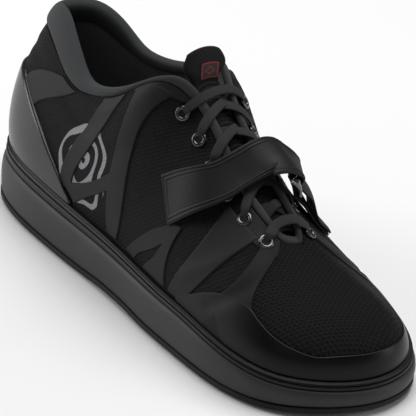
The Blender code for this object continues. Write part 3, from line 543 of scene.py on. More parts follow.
def holes_group():
    """Node group of round holes in staggered rows: the plane is cut in cells of one pitch, every other
    row is moved by half a cell, and the mask is 1 within the radius of a cell's middle."""
    group, start, end = new_group("holes", ["Vector", "Pitch", "Radius"], ["Hole"])
    parts = node(group, "ShaderNodeSeparateXYZ", Vector=start[0])
    down = math_node(group, "DIVIDE", parts.outputs[1], start[1])
    moved = math_node(group, "MULTIPLY", math_node(group, "FLOOR", down), 0.5)
    across = math_node(group, "ADD", math_node(group, "DIVIDE", parts.outputs[0], start[1]), moved)
    u = math_node(group, "SUBTRACT", math_node(group, "FRACT", across), 0.5)
    v = math_node(group, "SUBTRACT", math_node(group, "FRACT", down), 0.5)
    squares = math_node(group, "MULTIPLY_ADD", u, u, math_node(group, "MULTIPLY", v, v))
    rim = math_node(group, "ADD", start[2], 0.16)
    feed(end, i0=span(group, math_node(group, "SQRT", squares), start[2], rim, 1.0, 0.0))
    return group


HOLES = holes_group()


def holes(tree, place, pitch, radius):
    """Mask of staggered holes: pitch in metres, radius as a share of the pitch."""
    return node(tree, "ShaderNodeGroup", {"node_tree": HOLES}, i0=place, i1=pitch, i2=radius).outputs[0]


footbed_cloth, tree, shader = surface("footbed_cloth")
place = tree.nodes.new("ShaderNodeTexCoord").outputs["Object"]
fine = grain(tree, 1600.0)[0]
breathing = holes(tree, place, 0.0052, 0.14)
fibre = blend_colors(tree, fine, (0.012, 0.012, 0.013), (0.024, 0.024, 0.026))
feed(
    shader,
    Base_Color=blend_colors(tree, breathing, fibre, (0.003, 0.003, 0.003)),
    Roughness=0.92,
    Sheen_Weight=0.15,
)
bump(shader, math_node(tree, "SUBTRACT", fine, breathing), 0.0003)
insole_inset = -(FEATHER_INSET + UPPER_WALL + GAP)
insole_profile = [
    (insole_inset, 0.0), (insole_inset, 0.72), (insole_inset - 0.0003, 0.86), (insole_inset - 0.0010, 0.96)
]
insole_wall = sole_rings(insole_profile, over_sole, footbed_level)
insole_under = inward_rings(insole_wall[0], 2, lambda flat: over_sole(flat[..., 0]))[::-1]
insole_over = inward_rings(insole_wall[-1], 24, footbed_top)
insole = grid_piece(
    "footbed", np.concatenate([insole_under, insole_wall, insole_over]), "lining", footbed_cloth
)
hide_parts("insole")


# Upper: one sock of dark engineered mesh stretched over the last, with rows of pinholes outside and
# a smooth lining bonded inside, its colour lifted to light grey as painted fill light for the inside of
# the shoe. It carries soft flex creases over the ball and by the ankle, and pale rings printed on the
# outer quarter, partly under the films.
def upper_face(at, up):
    """Cubic Bezier from the top of the rand to the top edge: leaves the foot along lean, arrives along
    slope; below 0 it drops straight to the midsole."""
    at, up = np.broadcast_arrays(at, up)
    values = station(at)
    foot = np.concatenate([edge_ring(at, -FEATHER_INSET * np.ones(at.shape)), values[..., :1]], axis=-1)
    skirt = rand_height(foot[..., 0]) + GAP
    foot[..., 2] = sole_top(foot[..., 0]) + skirt
    crest = values[..., 2:5].copy()
    crest[..., 2] += sole_top(crest[..., 0])
    reach = np.linalg.norm(foot - crest, axis=-1, keepdims=True)
    out = foot - crest
    out[..., 2] = 0.0
    out /= np.linalg.norm(out, axis=-1, keepdims=True)
    rise = np.zeros_like(out)
    rise[..., 2] = 1.0
    lean = np.radians(values[..., 5])[..., None]
    slope = np.radians(values[..., 7])[..., None]
    low = foot + reach * values[..., 6:7] * (out * np.sin(lean) + rise * np.cos(lean))
    high = crest + reach * values[..., 8:9] * (out * np.cos(slope) - rise * np.sin(slope))
    t = np.maximum(up, 0.0)[..., None]
    face = (1 - t) ** 3 * foot + 3 * (1 - t) ** 2 * t * low + 3 * (1 - t) * t ** 2 * high + t ** 3 * crest
    face[..., 2] += np.minimum(up, 0.0) * (skirt - GAP)
    return face


def upper_normal(at, up):
    """Outward unit normal: cross product of the small step up and the small step round."""
    small = 1e-3
    at, up = np.broadcast_arrays(at, up)
    up = np.where(up < 0, up, np.maximum(up, small))
    rising = upper_face(at, up + small) - upper_face(at, up - small)
    going = upper_face(at + small, up) - upper_face(at - small, up)
    normal = np.cross(rising, going)
    return normal / np.linalg.norm(normal, axis=-1, keepdims=True)


# Soft creases, each from one place to another as round and up shares, with its half width and its
# depth in metres; a negative depth is a ridge.
GIRTH = 0.77
WALL_RISE = 0.09
Crease = namedtuple("Crease", "start end width depth")
CREASES = [
    Crease((0.150, 0.20), (0.085, 0.80), 0.0050, 0.0007),
    Crease((0.185, 0.25), (0.120, 0.85), 0.0045, -0.0004),
    Crease((0.885, 0.25), (0.925, 0.80), 0.0050, 0.0006),
    Crease((0.400, 0.80), (0.345, 0.62), 0.0060, 0.0008),
    Crease((0.385, 0.93), (0.330, 0.80), 0.0050, -0.0005),
    Crease((0.600, 0.80), (0.655, 0.62), 0.0060, 0.0008),
    Crease((0.300, 0.45), (0.230, 0.80), 0.0060, 0.0005),
    Crease((0.455, 0.80), (0.545, 0.80), 0.0050, 0.0006),
]


def soft_form(at, up):
    """Sum of the creases: each a bell across its line, faded to nothing at the rand and the top edge."""
    total = np.zeros(np.broadcast(at, up).shape)
    for crease in CREASES:
        start = np.array(crease.start) * (GIRTH, WALL_RISE)
        way = np.array(crease.end) * (GIRTH, WALL_RISE) - start
        length = np.hypot(*way)
        s = (np.mod(at, 1.0) * GIRTH - start[0], up * WALL_RISE - start[1])
        along = (s[0] * way[0] + s[1] * way[1]) / length
        across = (s[0] * way[1] - s[1] * way[0]) / length
        beyond = np.maximum(np.maximum(-along, along - length), 0.0)
        total -= crease.depth * np.exp(-(across / crease.width) ** 2 - (beyond / (1.5 * crease.width)) ** 2)
    return total * ease(up, 0.0, 0.15) * (1.0 - ease(up, 0.88, 1.0))


def upper_skin(at, up, lift):
    """Upper's face plus its soft form and a lift, along the normal."""
    lift = np.asarray(lift, dtype=float) + soft_form(at, up)
    return upper_face(at, up) + upper_normal(at, up) * lift[..., None]


def paired(first, second):
    """Grid of places from two ways that broadcast to one shape."""
    return np.stack(np.broadcast_arrays(first, second), axis=-1)


def lay_pattern(piece, place):
    """UV map in metres from a grid of places with one row and one column more than the quads."""
    corners = np.stack([place[:-1, :-1], place[1:, :-1], place[1:, 1:], place[:-1, 1:]], axis=-2)
    flat = corners.reshape(-1, 4, 2)
    if piece.data.loops[0].vertex_index != 0:
        flat = flat[:, ::-1]
    layer = piece.data.uv_layers.new(name="cloth")
    layer.data.foreach_set("uv", np.ascontiguousarray(flat, dtype=np.float32).ravel())


def mark(piece, name, values):
    """Named number for every vertex of a piece, for its material to read."""
    field = piece.data.attributes.new(name, "FLOAT", "POINT")
    field.data.foreach_set("value", np.ascontiguousarray(values, dtype=np.float32).ravel())


upper_ups = np.concatenate([[-1.0, -0.4], np.linspace(0.0, 1.0, 86)])
inner_ups = np.concatenate([[-1.0], np.linspace(0.0, 1.0, 25)])
outer_grid = upper_skin(AROUND[None, :], upper_ups[:, None], 0.0)
inner_grid = upper_skin(AROUND[None, :], inner_ups[:, None], -UPPER_WALL)
inner_foot = edge_ring(AROUND, np.full(ROUND, -FEATHER_INSET - UPPER_WALL))
inner_grid[:2, :, :2] = inner_foot
inner_grid[0, :, 2] = outer_grid[0, :, 2]
inner_grid[1, :, 2] = outer_grid[2, :, 2]
upper_grid = np.concatenate([outer_grid, inner_grid[::-1]])


def rise_along(line):
    """Running length over the rows of a line or a grid of points, from 0 at the first."""
    steps = np.linalg.norm(np.diff(line, axis=0), axis=-1)
    return np.concatenate([np.zeros_like(steps[:1]), np.cumsum(steps, axis=0)])


def cloth_places(at, up):
    """Pattern places of the mesh: girth and rise on the quarters, plan x and y turned on the toe."""
    line = upper_face(at, up)
    rise = rise_along(line)
    quarter = paired(at * GIRTH, rise)
    x, y = line[..., 0], line[..., 1]
    plan = paired(x * 0.94 - y * 0.34, x * 0.34 + y * 0.94)
    from_toe = np.mod(at + 0.5, 1.0) - 0.5
    toe = (from_toe < 0.116) & (from_toe > -0.105)
    return np.where((toe + np.zeros_like(rise, dtype=bool))[..., None], plan, quarter)


def knit(name, light, dark, pitch, radius, relief):
    """Engineered mesh: dark pinholes in staggered rows, threads that catch light between them."""
    made, tree, shader = surface(name)
    place = cloth_place(tree)
    turned = node(tree, "ShaderNodeMapping", i0=place, Rotation=(0.0, 0.0, 0.52), Scale=(1.0, 0.72, 1.0))
    hole = holes(tree, turned.outputs[0], pitch, radius)
    fine = grain(tree, 2400.0)[0]
    thread = blend_colors(tree, fine, dark, light)
    feed(
        shader,
        Base_Color=blend_colors(tree, hole, thread, (0.0010, 0.0010, 0.0010)),
        Roughness=0.72,
        Specular_IOR_Level=0.16,
    )
    height = math_node(tree, "SUBTRACT", math_node(tree, "MULTIPLY", fine, 0.35), hole)
    bump(shader, height, relief)
    return made, tree, shader


upper_mesh, tree, shader = knit(
    "upper_mesh", (0.0085, 0.0085, 0.0085), (0.0008, 0.0008, 0.0008), 0.0017, 0.27, 0.0010
)
PRINT_ROUND = 0.2560
PRINT_RISE = 0.0290
PRINT_REACH = 0.0276
PRINT_COLOR = (0.34, 0.34, 0.36)
thread_from = shader.inputs[0].links[0].from_socket
place = cloth_place(tree)
parts = node(tree, "ShaderNodeSeparateXYZ", Vector=place)
place_u = math_node(tree, "SUBTRACT", parts.outputs[0], PRINT_ROUND)
place_v = math_node(tree, "SUBTRACT", parts.outputs[1], PRINT_RISE)
squares = math_node(tree, "MULTIPLY_ADD", place_u, place_u, math_node(tree, "MULTIPLY", place_v, place_v))
far = math_node(tree, "SQRT", squares)
wander = node(tree, "ShaderNodeTexNoise", Vector=place, Scale=55.0, Detail=0.0)
turns = math_node(tree, "MULTIPLY_ADD", wander.outputs[0], 9.0, math_node(tree, "MULTIPLY", far, 700.0))
in_line = span(tree, math_node(tree, "SINE", turns), 0.25, 0.45, 0.0, 1.0)
in_reach = span(tree, far, PRINT_REACH - 0.0006, PRINT_REACH, 1.0, 0.0)
in_print = math_node(tree, "MULTIPLY", in_line, in_reach)
outer_side = span(tree, parts.outputs[0], 0.37, 0.38, 1.0, 0.0)
ink = math_node(tree, "MULTIPLY", in_print, outer_side)
feed(shader, Base_Color=blend_colors(tree, ink, thread_from, PRINT_COLOR))
# Lining colour: light grey, far above the cloth's own dark tone; the extra lightness is painted fill light
# for the inside of the shoe.
lining_with_painted_fill, lining_tree, lining_shader = surface("lining_with_painted_fill")
fine = grain(lining_tree, 2000.0)[0]
feed(
    lining_shader,
    Base_Color=blend_colors(lining_tree, fine, (0.180, 0.183, 0.188), (0.250, 0.253, 0.260)),
    Roughness=0.9,
    Specular_IOR_Level=0.3,
)
bump(lining_shader, fine, 0.0002)
upper = grid_piece("upper_shell", upper_grid, "mesh", upper_mesh, lining_with_painted_fill, close_rows=True)
lined = np.zeros(len(upper.data.polygons), dtype=np.int32)
lined[len(upper_ups) * ROUND:] = 1
upper.data.polygons.foreach_set("material_index", lined)
pattern_at = np.arange(ROUND + 1)[None, :] / ROUND
pattern_ups = np.concatenate([upper_ups, inner_ups[::-1], upper_ups[:1]])[:, None]
lay_pattern(upper, cloth_places(pattern_at, np.maximum(pattern_ups, 0.0)))
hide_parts("upper")


# Toe guard: smooth film bonded round the toe and forefoot from the rand upwards, near black at the
# toe and blending into the grey of the side films. A small window in it shows the mesh.
GUARD_THICK = 0.0009
GUARD_EDGE = [
    (-0.190, 0.06), (-0.155, 0.12), (-0.130, 0.20), (-0.108, 0.30),
    (-0.085, 0.26), (-0.050, 0.18), (0.000, 0.17),
    (0.030, 0.18), (0.050, 0.175), (0.066, 0.215), (0.084, 0.275),
    (0.098, 0.34), (0.108, 0.39), (0.122, 0.395),
    (0.142, 0.34), (0.160, 0.25), (0.176, 0.14), (0.192, 0.04),
]


def bent_line(t, start, leave, end, arrive):
    """Cubic from start to end over t of 0 to 1 that leaves and arrives at the given slopes."""
    return (
        (2 * t ** 3 - 3 * t ** 2 + 1) * start
        + (t ** 3 - 2 * t ** 2 + t) * leave
        + (3 * t ** 2 - 2 * t ** 3) * end
        + (t ** 3 - t ** 2) * arrive
    )


def drawn_line(points, at):
    """Smooth line through drawn points: cubic pieces that share the mean slope of their neighbours."""
    points = np.array(points)
    slope = np.gradient(points[:, 1], points[:, 0])
    left = np.clip(np.searchsorted(points[:, 0], at, side="right") - 1, 0, len(points) - 2)
    width = points[left + 1, 0] - points[left, 0]
    t = np.clip((at - points[left, 0]) / width, 0.0, 1.0)
    return bent_line(t, points[left, 1], width * slope[left], points[left + 1, 1], width * slope[left + 1])


def rim_steps(count, rim):
    """Even steps from 0 to 1 with four close steps over the rim at either end."""
    near = np.array([0.0, 0.15, 0.4, 0.7, 1.0]) * rim
    return np.concatenate([near, np.linspace(rim, 1.0 - rim, count)[1:-1], 1.0 - near[::-1]])


def rim_rise(share, rim):
    """Quarter round over the rim: square root of 1 - (1 - t)^2, then level."""
    t = np.clip(np.minimum(share, 1.0 - share) / rim, 0.0, 1.0)
    return np.sqrt(1.0 - (1.0 - t) ** 2)


RIM_SINK = 0.0003
COVER_RIM = 0.05
COVER_END_RIM = 0.006
STRIP_RIM = 0.05
STRIP_END_RIM = 0.012


def overlay_piece(name, at, up, thick, rounding, slot, material):
    """Thin sheet on the upper, its rim sunk a little under the face, with its pattern places."""
    lift = -RIM_SINK + (thick + RIM_SINK) * rounding
    piece = grid_piece(name, upper_skin(at, up, lift), slot, material, close_cols=False)
    lay_pattern(piece, paired(at * GIRTH, rise_along(upper_face(at, up))))
    return piece


def edge_cover(name, edge, low, thick, rows, cols, slot, material):
    """Overlay from the rand to a drawn edge: lift is the thickness times the quarter rounds of its rim."""
    share = rim_steps(rows, COVER_RIM)[:, None]
    side = rim_steps(cols, COVER_END_RIM)[None, :]
    at = edge[0][0] + (edge[-1][0] - edge[0][0]) * side + 0.0 * share
    up = low + (drawn_line(edge, at) - low) * share
    rounding = np.where(share < 0.5, 1.0, rim_rise(share, COVER_RIM)) * rim_rise(side, COVER_END_RIM)
    return overlay_piece(name, at, up, thick, rounding, slot, material), at, up


guard_film, tree, shader = surface("guard_film")
fine, broad = grain(tree, 1500.0)
shade = node(tree, "ShaderNodeAttribute", {"attribute_name": "shade"}).outputs["Fac"]
window = node(tree, "ShaderNodeAttribute", {"attribute_name": "window"}).outputs["Fac"]
toe_color = blend_colors(tree, broad, (0.0010, 0.0010, 0.0010), (0.0016, 0.0016, 0.0016))
side_color = blend_colors(tree, broad, (0.0090, 0.0091, 0.0093), (0.0120, 0.0121, 0.0123))
body_color = blend_colors(tree, shade, toe_color, side_color)
place = cloth_place(tree)
pin = holes(tree, place, 0.0022, 0.22)
window_color = blend_colors(tree, pin, (0.0030, 0.0030, 0.0030), (0.0006, 0.0006, 0.0006))
feed(shader, Base_Color=blend_colors(tree, window, body_color, window_color))
rough = math_node(tree, "MULTIPLY_ADD", shade, 0.24, 0.30)
feed(shader, Roughness=math_node(tree, "MULTIPLY_ADD", fine, 0.08, rough), Specular_IOR_Level=0.20)
bump(shader, fine, 0.00005)
guard, guard_at, guard_up = edge_cover(
    "toe_guard_film", GUARD_EDGE, 0.006, GUARD_THICK, 40, 330, "guard", guard_film
)
mark(guard, "shade", (ease(guard_at, 0.085, 0.145) + ease(-guard_at, 0.09, 0.15)).ravel())
fin = np.abs(guard_at - 0.1435) / 0.0120 + np.clip(guard_up - 0.02, 0.0, 1.0) / 0.17
mark(guard, "window", (1.0 - ease(fin, 0.90, 1.02)).ravel())
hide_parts("toe_guard")


# Heel cup: glossy moulded plastic, lightly clouded, bonded round the heel under the collar with a
# thick rolled front edge that stands off the mesh. A warm beige-brown tint low on it is a painted
# reflection.
CUP_THICK = 0.0019
CUP_EDGE = [
    (0.340, 0.03), (0.347, 0.08), (0.354, 0.14), (0.378, 0.30),
    (0.400, 0.42), (0.425, 0.52), (0.455, 0.60), (0.500, 0.63),
    (0.545, 0.60), (0.575, 0.52), (0.600, 0.42), (0.622, 0.30), (0.646, 0.14), (0.653, 0.08), (0.660, 0.03),
]
heel_plastic, tree, shader = surface("heel_plastic")
fine, broad = grain(tree, 700.0)
parts = node(tree, "ShaderNodeSeparateXYZ", Vector=tree.nodes.new("ShaderNodeTexCoord").outputs["Object"])
# Painted reflection: a warm beige-brown tint blended in towards the cup's bottom stands in for a soft warm
# reflection.
low_reflection_share = span(tree, parts.outputs[2], 0.034, 0.060, 1.0, 0.0)
cool = blend_colors(tree, broad, (0.0080, 0.0080, 0.0080), (0.0110, 0.0110, 0.0108))
painted_reflection_share = math_node(tree, "MULTIPLY", low_reflection_share, 0.6)
feed(
    shader,
    Base_Color=blend_colors(tree, painted_reflection_share, cool, (0.0085, 0.0070, 0.0055)),
    Roughness=math_node(tree, "MULTIPLY_ADD", fine, 0.08, 0.24),
    Coat_Weight=0.16,
    Specular_IOR_Level=0.24,
    Coat_Roughness=0.10,
)
bump(shader, fine, 0.00004)
cup = edge_cover("heel_cup", CUP_EDGE, 0.006, CUP_THICK, 40, 260, "counter", heel_plastic)[0]
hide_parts("heel_counter")


# Side films: matt grey strips of bonded film that fan up from the sole to the closing, pressed flat
# on the mesh with soft thin edges. Beside the eyelets a wider film lets the cloth's texture through.
FILM_THICK = 0.0007
Strip = namedtuple("Strip", "node back front")
STRIPS = [
    Strip(
        "film_outer_heel",
        ((0.454, 0.50), (0.452, 0.66), (0.441, 0.82), (0.425, 0.97)),
        ((0.422, 0.44), (0.424, 0.60), (0.411, 0.79), (0.398, 0.97)),
    ),
    Strip(
        "film_outer_strip",
        ((0.352, 0.10), (0.356, 0.32), (0.349, 0.66), (0.353, 0.985)),
        ((0.338, 0.10), (0.336, 0.34), (0.322, 0.62), (0.324, 0.97)),
    ),
    Strip(
        "film_outer_bar",
        ((0.352, 0.14), (0.330, 0.205), (0.309, 0.28), (0.288, 0.39)),
        ((0.335, 0.03), (0.322, 0.12), (0.303, 0.21), (0.280, 0.31)),
    ),
    Strip(
        "film_outer_panel",
        ((0.291, 0.02), (0.294, 0.34), (0.297, 0.64), (0.314, 0.97)),
        ((0.278, 0.02), (0.274, 0.34), (0.279, 0.64), (0.273, 0.95)),
    ),
    Strip(
        "film_outer_fan_1",
        ((0.264, 0.03), (0.250, 0.16), (0.236, 0.28), (0.212, 0.46)),
        ((0.251, 0.02), (0.243, 0.10), (0.229, 0.19), (0.207, 0.40)),
    ),
    Strip(
        "film_outer_fan_2",
        ((0.240, 0.02), (0.229, 0.12), (0.222, 0.22), (0.211, 0.46)),
        ((0.207, 0.02), (0.2095, 0.16), (0.209, 0.30), (0.205, 0.47)),
    ),
    Strip(
        "film_outer_fan_3",
        ((0.203, 0.02), (0.194, 0.22), (0.183, 0.48), (0.176, 0.86)),
        ((0.184, 0.02), (0.165, 0.30), (0.147, 0.57), (0.120, 0.86)),
    ),
    Strip(
        "film_outer_fan_4",
        ((0.148, 0.28), (0.134, 0.45), (0.124, 0.62), (0.113, 0.86)),
        ((0.107, 0.36), (0.108, 0.52), (0.099, 0.70), (0.080, 0.93)),
    ),
    Strip(
        "film_inner_heel",
        ((0.546, 0.50), (0.548, 0.66), (0.559, 0.82), (0.575, 0.97)),
        ((0.578, 0.44), (0.576, 0.60), (0.589, 0.79), (0.602, 0.97)),
    ),
    Strip(
        "film_inner_panel",
        ((0.700, 0.02), (0.696, 0.34), (0.688, 0.64), (0.680, 0.96)),
        ((0.726, 0.02), (0.724, 0.34), (0.728, 0.64), (0.736, 0.95)),
    ),
    Strip(
        "film_inner_fan_1",
        ((0.784, 0.02), (0.785, 0.30), (0.787, 0.56), (0.789, 0.86)),
        ((0.810, 0.02), (0.809, 0.30), (0.810, 0.56), (0.812, 0.86)),
    ),
    Strip(
        "film_inner_fan_2",
        ((0.880, 0.33), (0.884, 0.50), (0.889, 0.66), (0.893, 0.86)),
        ((0.900, 0.34), (0.905, 0.50), (0.911, 0.66), (0.918, 0.90)),
    ),
]
STAYS = [
    Strip(
        "eyelet_stay_outer",
        ((0.152, 0.820), (0.128, 0.800), (0.104, 0.820), (0.083, 0.860)),
        ((0.150, 0.995), (0.128, 0.995), (0.103, 0.995), (0.078, 0.995)),
    ),
    Strip(
        "collar_stay_outer",
        ((0.316, 0.950), (0.300, 0.905), (0.282, 0.910), (0.262, 0.965)),
        ((0.316, 0.995), (0.300, 0.995), (0.282, 0.995), (0.258, 0.995)),
    ),
]


def mirrored(strip, name):
    """Same strip on the other side of the shoe: each round share taken from 1."""
    edges = [[(1.0 - at, up) for at, up in edge] for edge in (strip.back, strip.front)]
    return Strip(name, *edges)


def cubic_line(points, t):
    """Cubic curve that passes its four points at t of 0, a third, two thirds and 1."""
    powers = np.array([0.0, 1.0 / 3.0, 2.0 / 3.0, 1.0])[:, None] ** np.arange(4)
    return (t[..., None] ** np.arange(4)) @ np.linalg.solve(powers, np.array(points))


def film_strip(strip, thick, material):
    """Sheet between two drawn edges, mixed in even shares, with a thin rounded rim."""
    share = rim_steps(70, STRIP_END_RIM)[:, None]
    side = rim_steps(34, STRIP_RIM)[None, :]
    back_edge = cubic_line(strip.back, share)
    front_edge = cubic_line(strip.front, share)
    place = back_edge * (1.0 - side[..., None]) + front_edge * side[..., None]
    rounding = rim_rise(share, STRIP_END_RIM) * rim_rise(side, STRIP_RIM)
    return overlay_piece(strip.node, place[..., 0], place[..., 1], thick, rounding, "film", material)


def weave_group():
    """Node group of a plain weave: product of two sines over and under, and a share of fine noise."""
    group, start, end = new_group("weave", ["Vector", "Pitch"], ["Height"])
    parts = node(group, "ShaderNodeSeparateXYZ", Vector=start[0])
    turn = math_node(group, "DIVIDE", math.pi, start[1])
    u, v = (
        math_node(group, "SINE", math_node(group, "MULTIPLY", axis, turn)) for axis in parts.outputs[:2]
    )
    feed(end, i0=math_node(group, "MULTIPLY_ADD", math_node(group, "MULTIPLY", u, v), 0.5, 0.5))
    return group


WEAVE = weave_group()


def weave(tree, place, pitch):
    """Height of the weave group at a thread pitch in metres."""
    return node(tree, "ShaderNodeGroup", {"node_tree": WEAVE}, i0=place, i1=pitch).outputs[0]


def film_finish(name, show):
    """Matt film; show is how far the weave under it comes through."""
    made, tree, shader = surface(name)
    place = cloth_place(tree)
    fine, broad = grain(tree, 1300.0)
    thread = weave(tree, place, 0.0011)
    base = blend_colors(tree, broad, (0.0090, 0.0091, 0.0093), (0.0120, 0.0122, 0.0125))
    shown = math_node(tree, "MULTIPLY", thread, show)
    feed(
        shader,
        Base_Color=blend_colors(tree, shown, base, (0.0045, 0.0045, 0.0048)),
        Roughness=math_node(tree, "MULTIPLY_ADD", fine, 0.12, 0.56),
        Specular_IOR_Level=0.20,
    )
    relief = math_node(tree, "MULTIPLY_ADD", thread, show, math_node(tree, "MULTIPLY", fine, 0.3))
    bump(shader, relief, 0.00012)
    return made


side_film = film_finish("side_film", 0.06)
thin_film = film_finish("thin_film", 0.55)
for count, strip in enumerate(STRIPS):
    finish = thin_film if strip.node.endswith("fan_4") else side_film
    film = film_strip(strip, FILM_THICK + 0.00002 * (count % 4), finish)
    film.name = strip.node.replace("film", "side_film")
    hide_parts(strip.node)
for strip in STAYS + [mirrored(STAYS[0], "eyelet_stay_inner")]:
    film_strip(strip, 0.0005, thin_film)


# Collar: foam roll round the ankle under soft grey knit, sewn to the mesh along a sharp seam; it thins
# to a narrow folded binding that runs round the throat.
BINDING_HEIGHT = 0.0050
BINDING_WIDTH = 0.0036
PAD_HEIGHT = 0.0165
PAD_WIDTH = 0.0095
COLLAR_POWER = 0.8
COLLAR_TURNS = 36


def powered(value, power):
    """Size of a value to a power, with its sign kept."""
    return np.sign(value) * np.abs(value) ** power


def collar_skin(at, angle):
    """Rounded oval round the collar's middle line: cosine and sine to a power times its half sizes,
    plus a faint slow unevenness of the foam."""
    crest = upper_face(at, np.ones_like(at))
    rise = crest - upper_face(at, np.full_like(at, 0.98))
    rise /= np.linalg.norm(rise, axis=-1, keepdims=True)
    out = upper_normal(at, np.ones_like(at))
    pad = station(at)[..., 9]
    half_height = ((BINDING_HEIGHT + (PAD_HEIGHT - BINDING_HEIGHT) * pad) / 2.0)[..., None]
    half_width = ((BINDING_WIDTH + (PAD_WIDTH - BINDING_WIDTH) * pad) / 2.0)[..., None]
    middle = crest + rise * (half_height + GAP) - out * half_width * 0.45
    cosine = powered(np.cos(angle), COLLAR_POWER)[..., None]
    sine = powered(np.sin(angle), COLLAR_POWER)[..., None]
    swell = 1.0 + (0.03 * np.sin(at * 96.0 + 1.3) * np.sin(at * 41.0) * pad)[..., None]
    return middle + out * half_width * cosine * swell + rise * half_height * sine * swell


def knit_cloth(name, light, dark, pitch, relief, sheen):
    """Soft knit: fine weave with fibre noise in colour and relief, and a cloth sheen."""
    made, tree, shader = surface(name)
    place = cloth_place(tree)
    fine = grain(tree, 2200.0)[0]
    thread = weave(tree, place, pitch)
    mix = math_node(tree, "MULTIPLY_ADD", thread, 0.5, math_node(tree, "MULTIPLY", fine, 0.5))
    feed(
        shader,
        Base_Color=blend_colors(tree, mix, dark, light),
        Roughness=0.85,
        Sheen_Weight=sheen,
        Specular_IOR_Level=0.25,
    )
    bump(shader, mix, relief)
    return made


collar_knit = knit_cloth(
    "collar_knit", (0.038, 0.0395, 0.0415), (0.026, 0.0272, 0.0288), 0.0008, 0.00012, 0.06
)
collar_turn = np.linspace(0.0, 2.0 * math.pi, COLLAR_TURNS, endpoint=False)[:, None]
collar_grid = collar_skin(AROUND[None, :] + 0.0 * collar_turn, collar_turn + 0.0 * AROUND[None, :])
collar = grid_piece("ankle_collar", collar_grid, "lining", collar_knit, close_rows=True)
collar_rows = np.linspace(0.0, 0.030, COLLAR_TURNS + 1)[:, None]
lay_pattern(collar, paired(pattern_at * GIRTH, collar_rows))
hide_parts("collar", "heel_pad")


# Tongue: padded and ribbed across, sewn in under the front of the throat and standing up out of the
# top of the closing.
EYELET_PAIRS = 6
EYELET_START = 0.0648
EYELET_PITCH = 0.0528
EYELET_INSET = 0.0078
TONGUE_DEPTH = 0.0035
TONGUE_THICK = 0.0045
TONGUE_WIDTH = 0.0400
TONGUE_RISE = 0.0195
TONGUE_LEAN = 10.0
TONGUE_RUN = 0.115
RIB_PITCH = 0.0034
RIB_DEPTH = 0.00035
TongueRow = namedtuple("TongueRow", "along width rise")
TONGUE_ROWS = [
    TongueRow(0.00, 0.80, 0.00),
    TongueRow(0.12, 1.00, 0.00),
    TongueRow(0.35, 1.00, 0.00),
    TongueRow(0.58, 1.00, 0.00),
    TongueRow(0.80, 1.00, 0.00),
    TongueRow(1.00, 0.54, 0.00),
    TongueRow(1.00, 0.58, 0.25),
    TongueRow(1.00, 0.80, 0.50),
    TongueRow(1.00, 0.90, 0.80),
    TongueRow(1.00, 0.70, 1.00),
]
INSTEP_BACK = 0.46
INSTEP_FRONT = 0.78
INSTEP_REACH = 0.090


def instep_arch(x):
    """Curve over the instep at x: up the outer face, over the throat by the cubic that leaves both top
    edges along the face, down the inner face; with its length from the middle of the throat."""
    shares = np.linspace(0.0, 1.0, 41)
    half = np.linspace(0.0, 0.5, 361)
    outer_at = np.interp(-x, -station(half)[:, 2], half)
    inner_at = 1.0 - np.interp(-x, -station(1.0 - half)[:, 2], half)
    outer = upper_face(np.full(41, outer_at), shares)
    inner = upper_face(np.full(41, inner_at), shares[::-1])
    leave = outer[-1] - outer[-2]
    arrive = inner[1] - inner[0]
    reach = np.linalg.norm(inner[0] - outer[-1])
    leave *= reach / np.linalg.norm(leave)
    arrive *= reach / np.linalg.norm(arrive)
    t = np.linspace(0.0, 1.0, 21)[:, None]
    bridge = bent_line(t, outer[-1], leave, inner[0], arrive)
    curve = np.concatenate([outer, bridge[1:-1], inner])
    length = rise_along(curve)
    return curve, length - length[50]


INSTEP_XS = np.linspace(INSTEP_BACK - 0.5, INSTEP_FRONT - 0.5, 60) * SOLE_LENGTH
INSTEP_DS = np.linspace(-INSTEP_REACH, INSTEP_REACH, 121)
arches = [instep_arch(x) for x in INSTEP_XS]
INSTEP_GRID = np.array([
    np.stack([np.interp(INSTEP_DS, length, curve[:, axis]) for axis in range(3)], axis=-1)
    for curve, length in arches
])
INSTEP_HALF = np.array([-length[40] for curve, length in arches])
INSTEP_NORMAL = np.cross(np.gradient(INSTEP_GRID, axis=0), np.gradient(INSTEP_GRID, axis=1))
INSTEP_NORMAL /= np.maximum(np.linalg.norm(INSTEP_NORMAL, axis=-1, keepdims=True), 1e-12)


def instep_point(x, across, lift):
    """Point over the instep: the arches' grid read between its points, plus lift along its normal."""
    x, across, lift = np.broadcast_arrays(x, across, lift)
    row = np.clip((x - INSTEP_XS[0]) / (INSTEP_XS[1] - INSTEP_XS[0]), 0, len(INSTEP_XS) - 1.001)
    col = np.clip((across - INSTEP_DS[0]) / (INSTEP_DS[1] - INSTEP_DS[0]), 0, len(INSTEP_DS) - 1.001)
    i = row.astype(int)
    j = col.astype(int)
    u = (row - i)[..., None]
    v = (col - j)[..., None]

    def blend(field):
        near = field[i, j] * (1 - v) + field[i, j + 1] * v
        far = field[i + 1, j] * (1 - v) + field[i + 1, j + 1] * v
        return near * (1 - u) + far * u

    return blend(INSTEP_GRID) + blend(INSTEP_NORMAL) * lift[..., None]


def throat_half(x):
    """Distance across from the middle of the throat to its edge."""
    return np.interp(x, INSTEP_XS, INSTEP_HALF)


def eyelet_x(count):
    """x of a pair of eyelets, counted from the front by its distance along the throat's outer edge."""
    half = np.linspace(0.0, 0.5, 361)
    edge = upper_face(half, np.ones(361))
    far = (EYELET_START + count * EYELET_PITCH) * SOLE_LENGTH
    return float(np.interp(far, rise_along(edge), edge[:, 0]))


tongue_run = np.array([0.0, 0.12, 0.35, 0.58, 0.80, 1.0, 1.045, 1.083, 1.12, 1.15])


